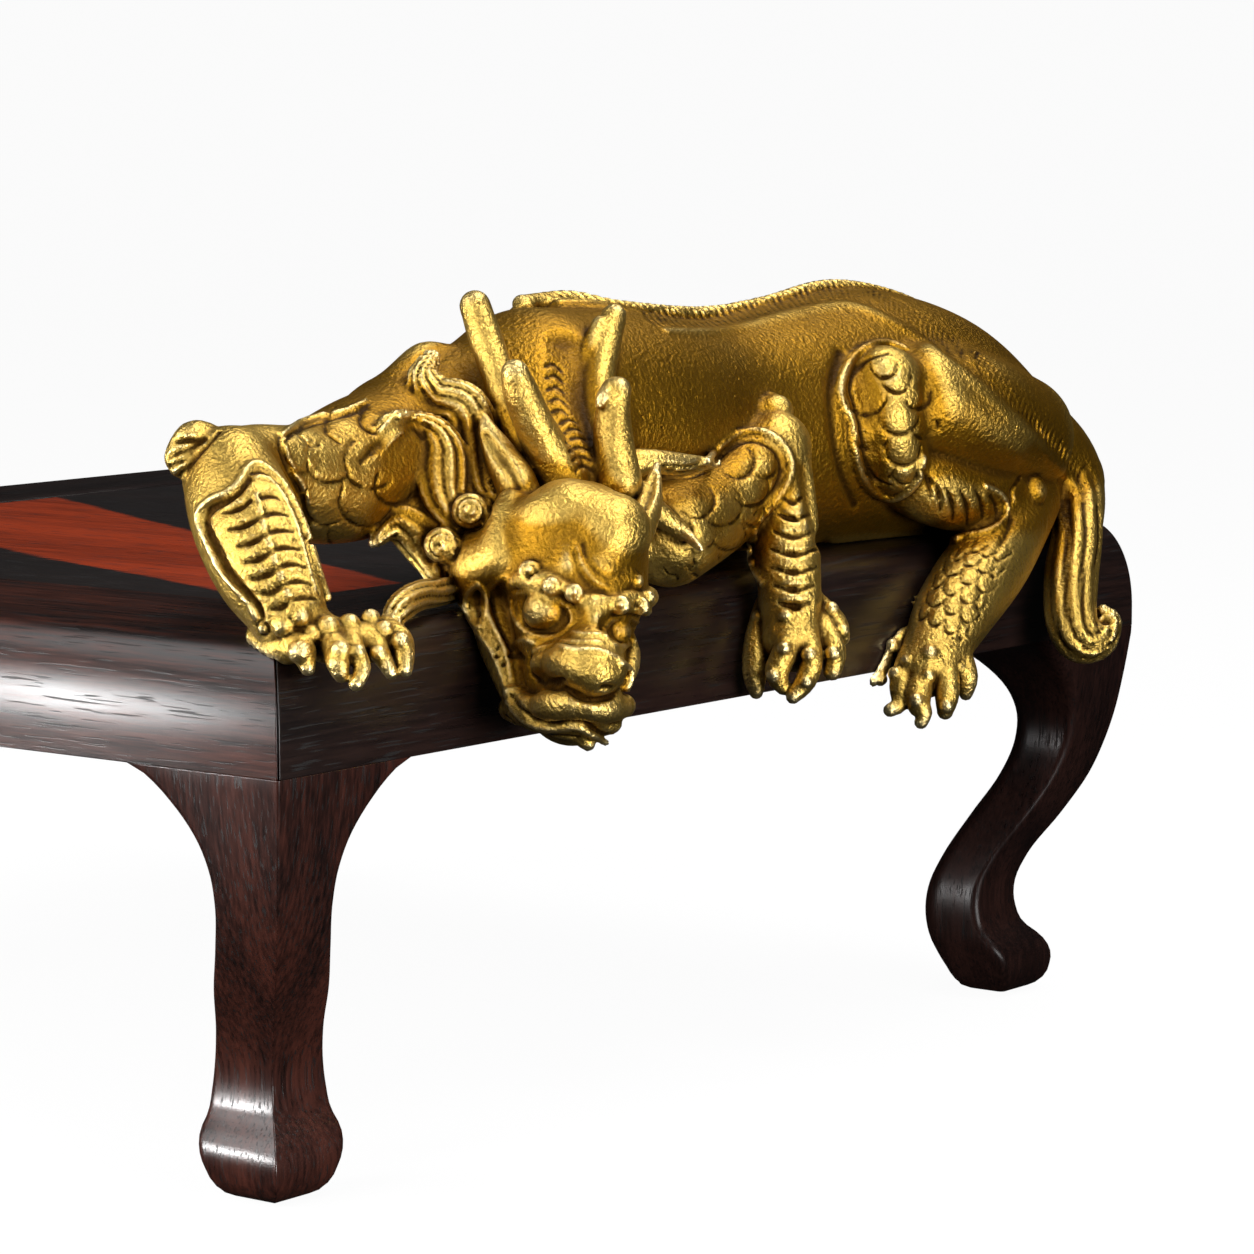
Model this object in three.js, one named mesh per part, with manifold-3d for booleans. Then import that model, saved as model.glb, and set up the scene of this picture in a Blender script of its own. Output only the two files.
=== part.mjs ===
// Crouching bronze dragon draped over the front edge of a small dark wood display stand.
// Millimetres, +Z up. X runs along the front edge of the stand, -Y is the side the head hangs over.
import * as THREE from "three";
import { mergeVertices } from "three/addons/utils/BufferGeometryUtils.js";
import Module from "manifold-3d";

// Stand
const STAND_LENGTH = 240;
const STAND_DEPTH = 222;
const STAND_HEIGHT = 89;
const HALF_X = STAND_LENGTH / 2;
const HALF_Y = STAND_DEPTH / 2;
// The dragon is laid out from a line 120 mm behind the front face
const CENTRE_Y = HALF_Y - 120;
const RAIL_WIDTH = 35;
const RAIL_THICKNESS = 10;
const APRON_DROP = 20.7;
const APRON_DEPTH = 13;
const APRON_FACE_TOP = 71.5;
const NOSE_WIDTH = 7;
const NOSE_TOP = 88.4;
const NOSE_POWER = 2.15;
const PANEL_THICKNESS = 9.6;
const PANEL_SET_DOWN = 0.2;
const GAP = 0.3;
const MITRE_GAP = 0.22;

// Leg sections from the sole up: height, outer offset and inner offset from the stand's faces
const LEG_SECTIONS = [
  [0, 15.5, 20], [1, 12.6, 23.5], [4.4, 10.7, 26], [7.6, 10.7, 27.5], [10, 11.9, 28.3],
  [11.8, 14, 28.5], [16, 15.5, 28.7], [20.4, 15.5, 28.3], [25.6, 13.8, 26.5], [33.3, 9.3, 22.6],
  [40.4, 5.7, 18.6], [47.4, 3.4, 16.6], [53, 2.1, 16.9], [58.5, 1.2, 19.4], [62.8, 0.6, 23.6],
  [66, 0.3, 27.4], [68, 0.1, 30],
];
const LEG_CORNER = 0.9;

// Body and tail of the dragon, each station a centre and a radius: x, y, z, r
const BODY = {
  trunk: [
    [-30.1, -97.7, 116.7, 16], [-11, -95.4, 112.1, 20], [15.6, -94.4, 109.1, 19.9],
    [39.4, -94.2, 108.6, 22.1], [61.8, -93.6, 108.6, 24], [78.7, -96.3, 106.3, 22.9],
    [90.7, -101.5, 101.4, 18.7], [99.1, -108.1, 98.2, 13.6], [104.5, -112.3, 96.2, 8.9],
  ],
  tail: [
    [103.2, -109.9, 99.5, 8.5], [102.2, -117.9, 94.8, 5.5], [93.4, -124.2, 88.5, 4.7],
    [86, -127.5, 81.2, 5], [81.8, -130, 74.5, 4.8], [81.6, -132.3, 70.2, 4.3],
    [84.5, -134.4, 70.1, 3.4], [87.7, -134.7, 73, 2.3], [87.1, -133.6, 75, 1.4],
  ],
  nape: [[-32, -95, 118, 13.4], [-37.2, -104.3, 112.2, 12.6], [-44.3, -113, 105.1, 11.1]],
  ridge: [
    [-24.2, -90.6, 133.2, 1.6], [-13.7, -91.1, 133.1, 2], [-4, -94.2, 131.4, 1.8],
    [19.3, -93.6, 129.3, 1.9], [38.2, -93.2, 130.2, 1.9], [60.5, -92.2, 132.3, 2],
    [80.3, -93.9, 129.2, 2], [94.7, -97.6, 122.3, 2], [103.8, -102.7, 114.7, 2],
    [109.2, -108.2, 106.1, 2], [110.7, -113.4, 98.4, 1.7],
  ],
  neckRidge: [
    [-25.6, -90.4, 133.2, 1.6], [-28.5, -95.7, 129.2, 1.5], [-33.8, -103.1, 123.6, 1.8],
    [-38.1, -108.5, 118.6, 1.8], [-41.9, -114.6, 113, 1.9], [-45.4, -119.4, 107.5, 1.6],
  ],
  capeEdge: [[-32.3, -92.8, 126.9, 1.5], [-29, -91.4, 130.8, 1.5], [-25, -91.2, 132.9, 1.5]],
};

// Hind legs, the near one hanging over the edge and the far one folded on the top
const HIND_LEGS = {
  haunch: [[84.4, -115.6, 105.8, 11.2], [68.4, -115.4, 109.6, 12.4], [55.7, -114.8, 112.4, 10.2]],
  knee: [[45.5, -113.9, 116.8, 7.1], [44.4, -115.3, 110.2, 6.6], [46.1, -115.5, 104.3, 6.3]],
  shank: [
    [48.7, -114.3, 102.3, 5.9], [55.5, -117.2, 98.9, 6.7], [66.5, -118.8, 96.4, 6.6],
    [79.2, -119.1, 95.1, 5.7], [90.5, -117.5, 94.9, 3.8],
  ],
  hock: [
    [85.3, -119.1, 93.8, 5.4], [66.5, -122.7, 85.2, 7.4], [51.9, -125, 77.8, 7],
    [44.1, -126, 71.7, 5.5],
  ],
  paw: [[45.6, -126.1, 72.4, 5.2], [41.1, -126, 68.8, 5.2]],
  farHaunch: [[76, -82, 112, 15], [62, -76, 107, 15], [50, -73, 101, 12]],
  farShank: [[50, -72, 100, 10], [66, -67, 97, 9], [84, -66, 95, 6]],
  farHock: [[84, -66, 95, 6], [70, -62, 94, 6], [56, -60, 94, 5]],
};

// Fore legs with the scroll knob at each elbow
const FORE_LEGS = {
  leftArm: [
    [-19.4, -115.8, 96.1, 8.5], [-5.5, -115.1, 99.5, 7.6], [5.3, -114.9, 105, 7],
    [10.4, -115.9, 108.7, 6],
  ],
  leftKnob: [[11.5, -113.1, 113.3, 3.7], [12.7, -114.5, 114.3, 2.9]],
  leftNub: [[13.1, -113.1, 115.9, 1.3], [13.3, -113.2, 116.4, 1.2]],
  leftForearm: [
    [10.5, -116.2, 108.1, 5.4], [6.9, -120.1, 98.5, 5.7], [3.3, -123.5, 90.6, 5.6],
    [0.6, -126.2, 84.4, 5],
  ],
  leftPaw: [[1.2, -125.6, 82.9, 5], [-0.7, -127.4, 77.9, 5.3]],
  rightShoulder: [[-36.2, -98.4, 115.1, 13], [-46, -91.9, 116.2, 10.6], [-57.3, -90.8, 113.7, 9.6]],
  rightArm: [
    [-46.3, -92, 113.8, 10], [-66.2, -93.2, 110.1, 11.3], [-84.8, -95.8, 108.3, 9.3],
    [-100.1, -98.2, 112, 6.3], [-106.3, -98.3, 112.4, 5.6],
  ],
  rightKnob: [
    [-108, -95.3, 116.3, 2.7], [-110.6, -95.2, 116.5, 2.8], [-112.6, -94.6, 113.9, 2.5],
    [-113.2, -95.8, 112.8, 2.1],
  ],
  rightForearm: [
    [-107, -99.3, 111.2, 7.2], [-109.9, -105, 105, 8.2], [-112.5, -111.3, 98.4, 7.8],
    [-113.5, -116, 92.9, 5.9],
  ],
  rightPaw: [[-113.9, -115.8, 90.8, 4.1], [-109.9, -123.3, 88, 3.5], [-104.3, -127.3, 88.1, 2.9]],
};

// Skull, cheeks and muzzle
const HEAD = {
  temple: [[-63.9, -118.9, 104.5, 2.6], [-66.7, -119.4, 100.6, 3.1], [-68.9, -120.6, 96.5, 3.1]],
  cranium: [[-57.7, -126.8, 97.2, 11.2], [-60.3, -129.4, 92.6, 10.5]],
  forehead: [[-62.2, -128.2, 102.3, 6.6], [-58.9, -134.6, 100.9, 6.1]],
  face: [[-63.8, -130.2, 90.8, 9.2], [-67.5, -133.4, 83.4, 8.1], [-68.9, -134.6, 76.2, 7.3]],
  leftJaw: [[-53.1, -132.1, 92.8, 3.4], [-59.3, -135.7, 84.3, 2.2], [-66.2, -140.9, 79.2, 1.8]],
  rightJaw: [
    [-66.2, -116.2, 94.9, 6.4], [-66.4, -117.1, 89.2, 5.1], [-70.6, -123, 82.1, 3.5],
    [-73.5, -128.8, 75.5, 2.9],
  ],
  muzzle: [[-68.3, -137.2, 84.5, 4.9], [-73.9, -141.9, 81.6, 5.3], [-73.7, -139.8, 77.3, 6]],
};

// Brows, nose, lips, chin and the snail curls behind the cheek
const FEATURES = {
  browRight: [[-69.6, -126.6, 95.1, 2], [-72.5, -133.1, 93.5, 2.3], [-72.7, -137.9, 92.8, 2.1]],
  browLeft: [
    [-71.5, -141.6, 90.8, 2.6], [-66.9, -142.6, 90.8, 2], [-60.4, -141.3, 90.1, 2],
    [-55.3, -139.6, 90.7, 1.5],
  ],
  nose: [[-79.7, -139.2, 82.3, 2.9], [-78.8, -147, 82.2, 3.3], [-73.9, -146.9, 81.7, 2.1]],
  lip: [
    [-75.3, -129.5, 76.8, 1.8], [-78.8, -136.6, 76.2, 2.6], [-78.9, -142.9, 77.2, 2.5],
    [-75.2, -146.3, 76.1, 2.7], [-68.6, -145, 76.1, 1.8],
  ],
  chin: [
    [-72.3, -125.5, 74.3, 2.1], [-76.1, -134, 73.9, 2.3], [-74.9, -140.7, 73.1, 2.3],
    [-69.7, -142.5, 73, 1.8],
  ],
  beard: [[-74.2, -140.2, 72.1, 2], [-74.4, -141.9, 70.4, 1.1]],
  curlUpper: [[-68.7, -114.4, 103.7, 2.8], [-62.2, -109.9, 102.8, 2.8]],
  curlLower: [[-72.6, -112, 98.6, 2.8], [-65.9, -107.7, 98.1, 3]],
};

// Forked horns, a front and a rear tine on each side
const HORNS = {
  rightRear: [
    [-48.1, -98.8, 134.1, 2.5], [-49.1, -102, 128.5, 2.7], [-50.1, -104.9, 123.9, 2.7],
    [-51.2, -107.8, 119, 2.7], [-52.9, -111.5, 114.2, 2.5], [-54.3, -115.9, 107.9, 2.5],
  ],
  rightFront: [
    [-59.3, -115.9, 124.6, 2.2], [-58.3, -116.3, 121.5, 2.8], [-56.7, -117.6, 116.6, 3.1],
    [-54.3, -118.4, 112.1, 3.6], [-52.6, -119.9, 107.7, 4.1],
  ],
  leftRear: [
    [-25.4, -109.3, 131.7, 2.1], [-28.9, -110.4, 127.4, 2.4], [-34.4, -113, 120.5, 2.6],
    [-39.7, -117.5, 113, 2.7], [-44.6, -122.4, 105.7, 3],
  ],
  leftFront: [
    [-41.2, -122.2, 121.3, 2.1], [-42, -121.8, 117.3, 2.8], [-43.2, -123, 112.2, 3.3],
    [-45.5, -125.9, 107.2, 3.5],
  ],
  rearFlange: [[-28.4, -108.8, 130.5, 1.5], [-32, -109.7, 127, 1.4], [-34.6, -110.3, 123.9, 0.5]],
  frontFlange: [[-41.7, -121.4, 121.6, 1.6], [-44.2, -121.7, 120.1, 1.3], [-45.8, -121.6, 118.7, 0.3]],
};

// Leaf-shaped ears
const EARS = {
  right: [
    [-48.1, -100.6, 116.9, 0.5], [-50.3, -103.2, 114.3, 1.4], [-53, -107, 110.8, 2.2],
    [-55.5, -111.2, 107.1, 2.7], [-57.5, -114.2, 103.8, 2.8],
  ],
  left: [
    [-36.9, -126.7, 109.5, 0.5], [-40.8, -128.9, 106.7, 1.4], [-44.8, -130.9, 103.3, 2.2],
    [-50.1, -132.9, 100.1, 2.6],
  ],
};

// Locks of the mane, each ending in a curled tip
const MANE = {
  mass: [
    [-49.1, -94, 118.9, 4.2], [-54.7, -99.4, 113.1, 4.4], [-58.1, -102.8, 107.2, 4.4],
    [-61, -106.5, 102.5, 3.1], [-64.4, -106.8, 95.2, 2.5],
  ],
  crown: [
    [-50.9, -91.8, 125.8, 1.1], [-53.4, -92.6, 122.6, 1.9], [-54.6, -96.5, 119.6, 2.9],
    [-55.6, -102.2, 118, 3.5], [-56.8, -104.8, 114.1, 3.8], [-58.4, -106.8, 109.9, 3.8],
    [-60.5, -109.8, 106.4, 3.1], [-62.1, -113.1, 104.2, 2.2],
  ],
  cheek: [
    [-67.9, -110.8, 102, 2.8], [-66.6, -107.1, 104.9, 3.7], [-65.2, -104.8, 108.7, 4.1],
    [-64.1, -103.8, 112.3, 3.6], [-64.6, -102.6, 115.1, 2.5], [-67.6, -101.7, 116.5, 1.7],
    [-71.2, -101.9, 116.8, 1.7], [-74.9, -102.4, 115.3, 1.7], [-77.8, -102.2, 113.2, 1.2],
    [-80.1, -101.3, 111.3, 0.3],
  ],
  throat: [
    [-70.3, -109.3, 94, 2], [-69.2, -106.8, 96.9, 2.8], [-70.3, -104.7, 100.3, 3.1],
    [-72.6, -103, 101.9, 2.6], [-75, -101.9, 100.3, 1.7], [-77, -101.4, 97.7, 0.5],
  ],
  beardCurl: [
    [-73, -113.9, 94.6, 1.9], [-81.4, -116.5, 93, 2.1], [-87.9, -118.1, 92.6, 2.3],
    [-93.2, -119.6, 91.9, 2], [-95.2, -120.6, 90, 1.5], [-94.3, -122.1, 88.4, 1.2],
  ],
  farLock: [
    [-34.4, -115.4, 107.8, 3.2], [-30.1, -119.2, 109, 2.1], [-23.5, -121.3, 108.3, 1.8],
    [-14.2, -122, 107.9, 0.7],
  ],
  farHook: [[-27.9, -118.6, 101.3, 2.3], [-24.4, -122.4, 97.4, 1.3], [-26, -127.4, 95.1, 0.5]],
};

// Toes from knuckle to claw tip, five to a paw
const TOES = {
  hind1: [
    [42.6, -120.4, 73.5, 1.9], [38.8, -119, 71.3, 2.1], [35.9, -119.3, 68.1, 1.9],
    [33, -119.2, 65.8, 0.9],
  ],
  hind2: [
    [40, -124, 71, 2.2], [36, -124.7, 66.8, 2.2], [33.8, -125.8, 63.5, 1.5],
    [31.4, -124.7, 61.4, 0.7],
  ],
  hind3: [
    [39.5, -127.1, 69.1, 2.2], [34.9, -128.7, 64.1, 2.2], [34.5, -130.3, 62.1, 1.4],
    [33.8, -129.9, 59.5, 0.7],
  ],
  hind4: [[42.5, -129.2, 70, 2.2], [39.7, -131.5, 65.2, 2.2], [38.4, -132, 62, 1.4]],
  hind5: [[46.5, -129.2, 71.3, 2.3], [45.3, -131.7, 67.4, 2.1], [45, -131.9, 64.4, 1.2]],
  left1: [
    [0.4, -121.1, 83.2, 1.8], [-3.3, -122.4, 77.8, 2.3], [-5.7, -123.5, 72.8, 2.1],
    [-6, -124, 68.5, 0.8],
  ],
  left2: [
    [-0.8, -126.3, 82.8, 1.8], [-4.5, -129.1, 77.6, 2.1], [-6.8, -128.7, 73.3, 2],
    [-6.4, -129.7, 70.4, 1],
  ],
  left3: [
    [-0.1, -129.2, 81, 1.8], [-2.2, -132.5, 76, 1.8], [-4, -132.6, 72, 1.8],
    [-6.7, -131.3, 68.6, 0.8],
  ],
  left4: [[3.2, -130.3, 81.1, 1.8], [1.7, -134.2, 76.5, 2], [0.3, -134.8, 73.1, 1.5]],
  left5: [[4.3, -127.9, 83.8, 2.2], [5.5, -131.7, 80.6, 2], [5.1, -133.4, 78.1, 1.3]],
  right1: [
    [-114.9, -111.7, 88.5, 1.8], [-115.3, -116.4, 87.2, 2.5], [-116.5, -121.4, 87.7, 2.2],
    [-117.5, -124.1, 84.2, 0.7],
  ],
  right2: [
    [-111.3, -121.1, 90.1, 1.6], [-113.4, -125.6, 87.4, 2], [-115.6, -127.9, 85.7, 1.7],
    [-115.5, -128.6, 83.1, 0.7],
  ],
  right3: [
    [-108.9, -124.4, 89.5, 1.6], [-111.8, -127.7, 87.4, 1.6], [-112.8, -130.1, 85, 1.3],
    [-114.5, -130.1, 82, 0.7],
  ],
  right4: [
    [-105.5, -125.4, 90.4, 1.6], [-107.4, -128.5, 87.3, 1.6], [-108.4, -130.9, 85.2, 1.2],
    [-107.9, -131.8, 83.3, 0.6],
  ],
  right5: [
    [-102.6, -125.9, 90, 1.6], [-103.7, -129.8, 88.2, 1.8], [-105.2, -131.7, 85.5, 1.5],
    [-106.1, -132.6, 83.2, 0.7],
  ],
};

// Sides of a section, by how large the form is
const SIDES = { body: 12, limb: 7, small: 5, toe: 4 };
const EAR_FLATTEN = 0.45;
// Clearance between the casting and the wood it lies on
const REST_GAP = 0.3;

const wasm = await Module();
wasm.setup();

// Solid from a geometry, and geometry from a solid
function toSolid(geometry) {
  const bare = geometry.clone();
  bare.deleteAttribute("normal");
  bare.deleteAttribute("uv");
  const merged = mergeVertices(bare, 1e-5);
  const vertProperties = new Float32Array(merged.attributes.position.array);
  const triVerts = new Uint32Array(merged.index.array);
  return new wasm.Manifold(new wasm.Mesh({ numProp: 3, vertProperties, triVerts }));
}

function toGeometry(solid) {
  const mesh = solid.getMesh();
  const geometry = new THREE.BufferGeometry();
  geometry.setAttribute("position", new THREE.BufferAttribute(mesh.vertProperties, 3));
  geometry.setIndex(new THREE.BufferAttribute(mesh.triVerts, 1));
  geometry.computeVertexNormals();
  return geometry;
}

// Turned profile bent along a smooth spine; both ends are domes
function limb(stations, sides, flatten = 1) {
  const centres = stations.map(([x, y, z]) => new THREE.Vector3(x, y, z));
  const radii = stations.map((station) => station[3]);
  const spine = new THREE.CatmullRomCurve3(centres, false, "centripetal");
  const steps = Math.max(2, (stations.length - 1) * (sides > SIDES.limb ? 2 : 1));
  const frames = spine.computeFrenetFrames(steps);
  const profile = [new THREE.Vector2(0, -1), new THREE.Vector2(0.72, -0.7)];
  for (let i = 0; i <= steps; i += 1) profile.push(new THREE.Vector2(1, i));
  profile.push(new THREE.Vector2(0.72, steps + 0.7), new THREE.Vector2(0, steps + 1));
  const geometry = new THREE.LatheGeometry(profile, sides);
  const position = geometry.attributes.position;
  const point = new THREE.Vector3();
  for (let i = 0; i < position.count; i += 1) {
    point.fromBufferAttribute(position, i);
    const level = THREE.MathUtils.clamp(Math.round(point.y), 0, steps);
    const beyond = point.y < 0 ? point.y : Math.max(0, point.y - steps);
    const share = level / steps;
    const radius = radiusAt(radii, share);
    const centre = spine.getPoint(share);
    const tangent = frames.tangents[level];
    centre.addScaledVector(tangent, beyond * radius);
    centre.addScaledVector(frames.normals[level], point.x * radius * flatten);
    centre.addScaledVector(frames.binormals[level], -point.z * radius);
    position.setXYZ(i, centre.x, centre.y, centre.z);
  }
  return geometry;
}

function radiusAt(radii, share) {
  const place = share * (radii.length - 1);
  const from = Math.min(Math.floor(place), radii.length - 2);
  return THREE.MathUtils.lerp(radii[from], radii[from + 1], place - from);
}

// Stack of sections around a vertical axis, each section given by a function of level and angle
function stack(levels, sides, placeOf) {
  const geometry = new THREE.CylinderGeometry(1, 1, levels - 1, sides, levels - 1);
  const position = geometry.attributes.position;
  const point = new THREE.Vector3();
  for (let i = 0; i < position.count; i += 1) {
    point.fromBufferAttribute(position, i);
    const level = Math.round(point.y + (levels - 1) / 2);
    const reach = Math.hypot(point.x, point.z);
    const angle = Math.atan2(-point.z, point.x);
    placeOf(level, angle, reach < 0.5 ? 0 : 1, point);
    position.setXYZ(i, point.x, point.y, point.z);
  }
  return geometry;
}

// Unit square read off by angle
function squareReach(angle) {
  return 1 / Math.max(Math.abs(Math.cos(angle)), Math.abs(Math.sin(angle)));
}

// Scroll-footed leg under one corner; signs pick the corner
function legGeometry(signX, signY) {
  return stack(LEG_SECTIONS.length, 8, (level, angle, reach, point) => {
    const [height, outer, inner] = LEG_SECTIONS[level];
    const inward = (outer + inner) / 2;
    const half = (inner - outer) / 2;
    const cos = Math.cos(angle);
    const sin = Math.sin(angle);
    const onCorner = Math.abs(Math.abs(cos) - Math.abs(sin)) < 0.1;
    const outward = cos * signX > 0 && sin * signY > 0;
    const ease = onCorner && !outward ? LEG_CORNER : 1;
    const scale = squareReach(angle) * ease * half * reach;
    const x = signX * (HALF_X - inward) + cos * scale;
    const y = signY * (HALF_Y - inward) + sin * scale;
    point.set(x, y + CENTRE_Y, height);
  });
}

// Rounded outer edge of the top: distance in from the face and height, for a share of the turn
function nosePoint(share) {
  const turn = (share * Math.PI) / 2;
  const inward = NOSE_WIDTH * (1 - Math.cos(turn) ** (2 / NOSE_POWER));
  const height = APRON_FACE_TOP + (NOSE_TOP - APRON_FACE_TOP) * Math.sin(turn) ** (2 / NOSE_POWER);
  return [inward, height];
}

// Rail profile across its width: distance in from the outer face, height
function railProfile(noseSteps) {
  const shape = new THREE.Shape();
  shape.moveTo(0, STAND_HEIGHT - APRON_DROP);
  shape.lineTo(0, APRON_FACE_TOP);
  for (let i = 1; i <= noseSteps; i += 1) shape.lineTo(...nosePoint(i / noseSteps));
  shape.lineTo(RAIL_WIDTH, STAND_HEIGHT);
  shape.lineTo(RAIL_WIDTH, STAND_HEIGHT - RAIL_THICKNESS);
  shape.lineTo(APRON_DEPTH, STAND_HEIGHT - RAIL_THICKNESS);
  shape.lineTo(APRON_DEPTH, STAND_HEIGHT - APRON_DROP);
  return shape;
}

// Mitred rail along one side, turned into place about the vertical
function railGeometry(quarterTurns) {
  const sideways = quarterTurns % 2 === 1;
  const halfLength = sideways ? HALF_Y : HALF_X;
  const outward = sideways ? HALF_X : HALF_Y;
  const geometry = new THREE.ExtrudeGeometry(railProfile(8), { depth: 2, bevelEnabled: false });
  const position = geometry.attributes.position;
  for (let i = 0; i < position.count; i += 1) {
    const inward = position.getX(i);
    const height = position.getY(i);
    const end = position.getZ(i) - 1;
    position.setXYZ(i, end * (halfLength - inward - MITRE_GAP), inward - outward, height);
  }
  geometry.rotateZ((quarterTurns * Math.PI) / 2);
  geometry.translate(0, CENTRE_Y, 0);
  return geometry;
}

// Room the wood takes up, swollen by the resting gap
function woodEnvelope() {
  const levels = [[0, 0], [0, APRON_FACE_TOP]];
  const noseSteps = 6;
  for (let i = 1; i <= noseSteps; i += 1) levels.push(nosePoint(i / noseSteps));
  levels.push([RAIL_WIDTH, STAND_HEIGHT]);
  return stack(levels.length, 4, (level, angle, reach, point) => {
    const [inward, height] = levels[level];
    const turned = angle + Math.PI / 4;
    const swell = REST_GAP * 1.4 - inward;
    const x = Math.sign(Math.cos(turned)) * (HALF_X + swell) * reach;
    const y = Math.sign(Math.sin(turned)) * (HALF_Y + swell) * reach;
    point.set(x, y + CENTRE_Y, height + REST_GAP);
  });
}

// Every form of the dragon, joined to one casting
function dragonForms() {
  const forms = [];
  const take = (group, sides, flatten) => {
    for (const stations of Object.values(group)) forms.push(limb(stations, sides, flatten));
  };
  forms.push(limb(BODY.trunk, SIDES.body), limb(BODY.nape, SIDES.limb));
  forms.push(limb(BODY.tail, SIDES.small), limb(BODY.ridge, SIDES.toe), limb(BODY.neckRidge, SIDES.toe), limb(BODY.capeEdge, SIDES.toe));
  take(HIND_LEGS, SIDES.limb);
  take(FORE_LEGS, SIDES.limb);
  take(HEAD, SIDES.limb);
  take(FEATURES, SIDES.toe);
  take(HORNS, SIDES.small);
  take(EARS, SIDES.toe, EAR_FLATTEN);
  take(MANE, SIDES.small);
  take(TOES, SIDES.toe);
  return forms;
}

function dragonGeometry() {
  let solid = null;
  for (const form of dragonForms()) {
    const piece = toSolid(form);
    solid = solid ? solid.add(piece) : piece;
  }
  solid = solid.subtract(toSolid(woodEnvelope()));
  return toGeometry(outerSkin(solid));
}

// The outer shell alone, without small pockets closed in between the forms
function outerSkin(solid) {
  return solid.decompose().reduce((kept, other) => (other.volume() > kept.volume() ? other : kept));
}

function material(colour, roughness, metalness) {
  return new THREE.MeshStandardMaterial({ color: colour, roughness, metalness });
}

function addMesh(group, name, geometry, finish) {
  const mesh = new THREE.Mesh(geometry, finish);
  mesh.name = name;
  group.add(mesh);
}

function build() {
  const group = new THREE.Group();
  group.name = "dragon_on_stand";
  addMesh(group, "dragon", dragonGeometry(), material("#a8822f", 0.36, 1));
  const rails = ["rail_front", "rail_right", "rail_back", "rail_left"];
  rails.forEach((name, turns) => addMesh(group, name, railGeometry(turns), material("#2a1714", 0.3, 0)));
  const inset = 2 * (RAIL_WIDTH + GAP);
  const panel = new THREE.BoxGeometry(STAND_LENGTH - inset, STAND_DEPTH - inset, PANEL_THICKNESS);
  panel.translate(0, CENTRE_Y, STAND_HEIGHT - PANEL_SET_DOWN - PANEL_THICKNESS / 2);
  addMesh(group, "top_panel", panel, material("#2b2526", 0.32, 0));
  const corners = { front_left: [-1, -1], front_right: [1, -1], back_right: [1, 1], back_left: [-1, 1] };
  for (const [place, [signX, signY]] of Object.entries(corners)) {
    addMesh(group, `leg_${place}`, legGeometry(signX, signY), material("#241413", 0.3, 0));
  }
  const box = new THREE.Box3().setFromObject(group);
  const shift = new THREE.Vector3(-(box.min.x + box.max.x) / 2, -(box.min.y + box.max.y) / 2, -box.min.z);
  group.children.forEach((mesh) => mesh.geometry.translate(shift.x, shift.y, shift.z));
  return group;
}

export default build();
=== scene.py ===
"""A crouching bronze dragon draped over the front edge of a small dark wood display stand.

The dragon is modelled as clay: forms swept along spines are blended in a grid of signed distances, which
is skinned once and thinned to the triangle allowance. Lengths are millimetres in the stand's own frame,
with the soles at Z = 0, until a mesh is written in metres. What the viewer sees is drawn in view units,
1254 across the picture, so that a form or a stroke lies where the camera shows it.
"""

import logging
import math
from dataclasses import dataclass
from enum import Enum
from typing import Callable, Iterable, Sequence

import bpy
import numpy as np
import openvdb
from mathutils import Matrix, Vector


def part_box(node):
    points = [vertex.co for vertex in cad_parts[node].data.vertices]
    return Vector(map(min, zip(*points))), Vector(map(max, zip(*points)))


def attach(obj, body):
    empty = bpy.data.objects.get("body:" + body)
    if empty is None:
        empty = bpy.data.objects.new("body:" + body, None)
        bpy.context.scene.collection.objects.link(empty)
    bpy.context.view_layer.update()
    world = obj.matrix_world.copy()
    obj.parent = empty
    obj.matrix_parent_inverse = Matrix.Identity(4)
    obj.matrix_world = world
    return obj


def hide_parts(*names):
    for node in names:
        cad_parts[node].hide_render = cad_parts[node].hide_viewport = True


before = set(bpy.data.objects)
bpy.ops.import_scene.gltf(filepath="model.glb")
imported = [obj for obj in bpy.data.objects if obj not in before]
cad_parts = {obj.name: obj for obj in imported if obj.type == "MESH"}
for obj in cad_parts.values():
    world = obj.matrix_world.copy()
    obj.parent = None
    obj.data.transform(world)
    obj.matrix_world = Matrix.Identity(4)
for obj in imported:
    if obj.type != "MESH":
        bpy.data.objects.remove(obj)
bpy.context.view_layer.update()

log = logging.getLogger("dragon")

Array = np.ndarray
Point = tuple[float, float, float]
Colour = tuple[float, float, float]
Station = tuple[float, float, float, float]
Place = tuple[float, float]
Path = tuple[Place, ...]
Widths = tuple[float, ...]
Window = tuple[slice, ...]

MM = 0.001
VIEW_UNITS = 1254.0
SENSOR = 36.0

# Direction from the figure to the viewer, which the front of every limb faces
VIEW: Point = (-0.7898, -0.6016, 0.1198)

# Clay further than FAR from the skin isn't measured, and BAND is the depth that a form's skin is kept to
FAR = 4.0
BAND = 1.8
THINNEST = 0.12
TINY = 1e-9


# Reliefs: heights over a form's skin

@dataclass(frozen=True)
class SkinPoint:
    """Places on a form's skin.

    Args:
        along: Millimetres along the spine.
        turn: Angle around the spine, 0 on the side that faces the viewer.
        radius: Radius of the form there.
        spot: Positions in space, one row a place.
        share: Share of the spine's length, 0 to 1.
    """

    along: Array
    turn: Array
    radius: Array
    spot: Array
    share: Array

    @property
    def around(self) -> Array:
        """Millimetres around the form from the side that faces the viewer."""
        return self.turn * self.radius


Relief = Callable[[SkinPoint], Array]


def smooth_step(low: float, high: float, value: Array) -> Array:
    """Returns 0 below low, 1 above high and an even rise between them."""
    t = np.clip((value - low) / (high - low), 0.0, 1.0)
    return t * t * (3.0 - 2.0 * t)


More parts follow.
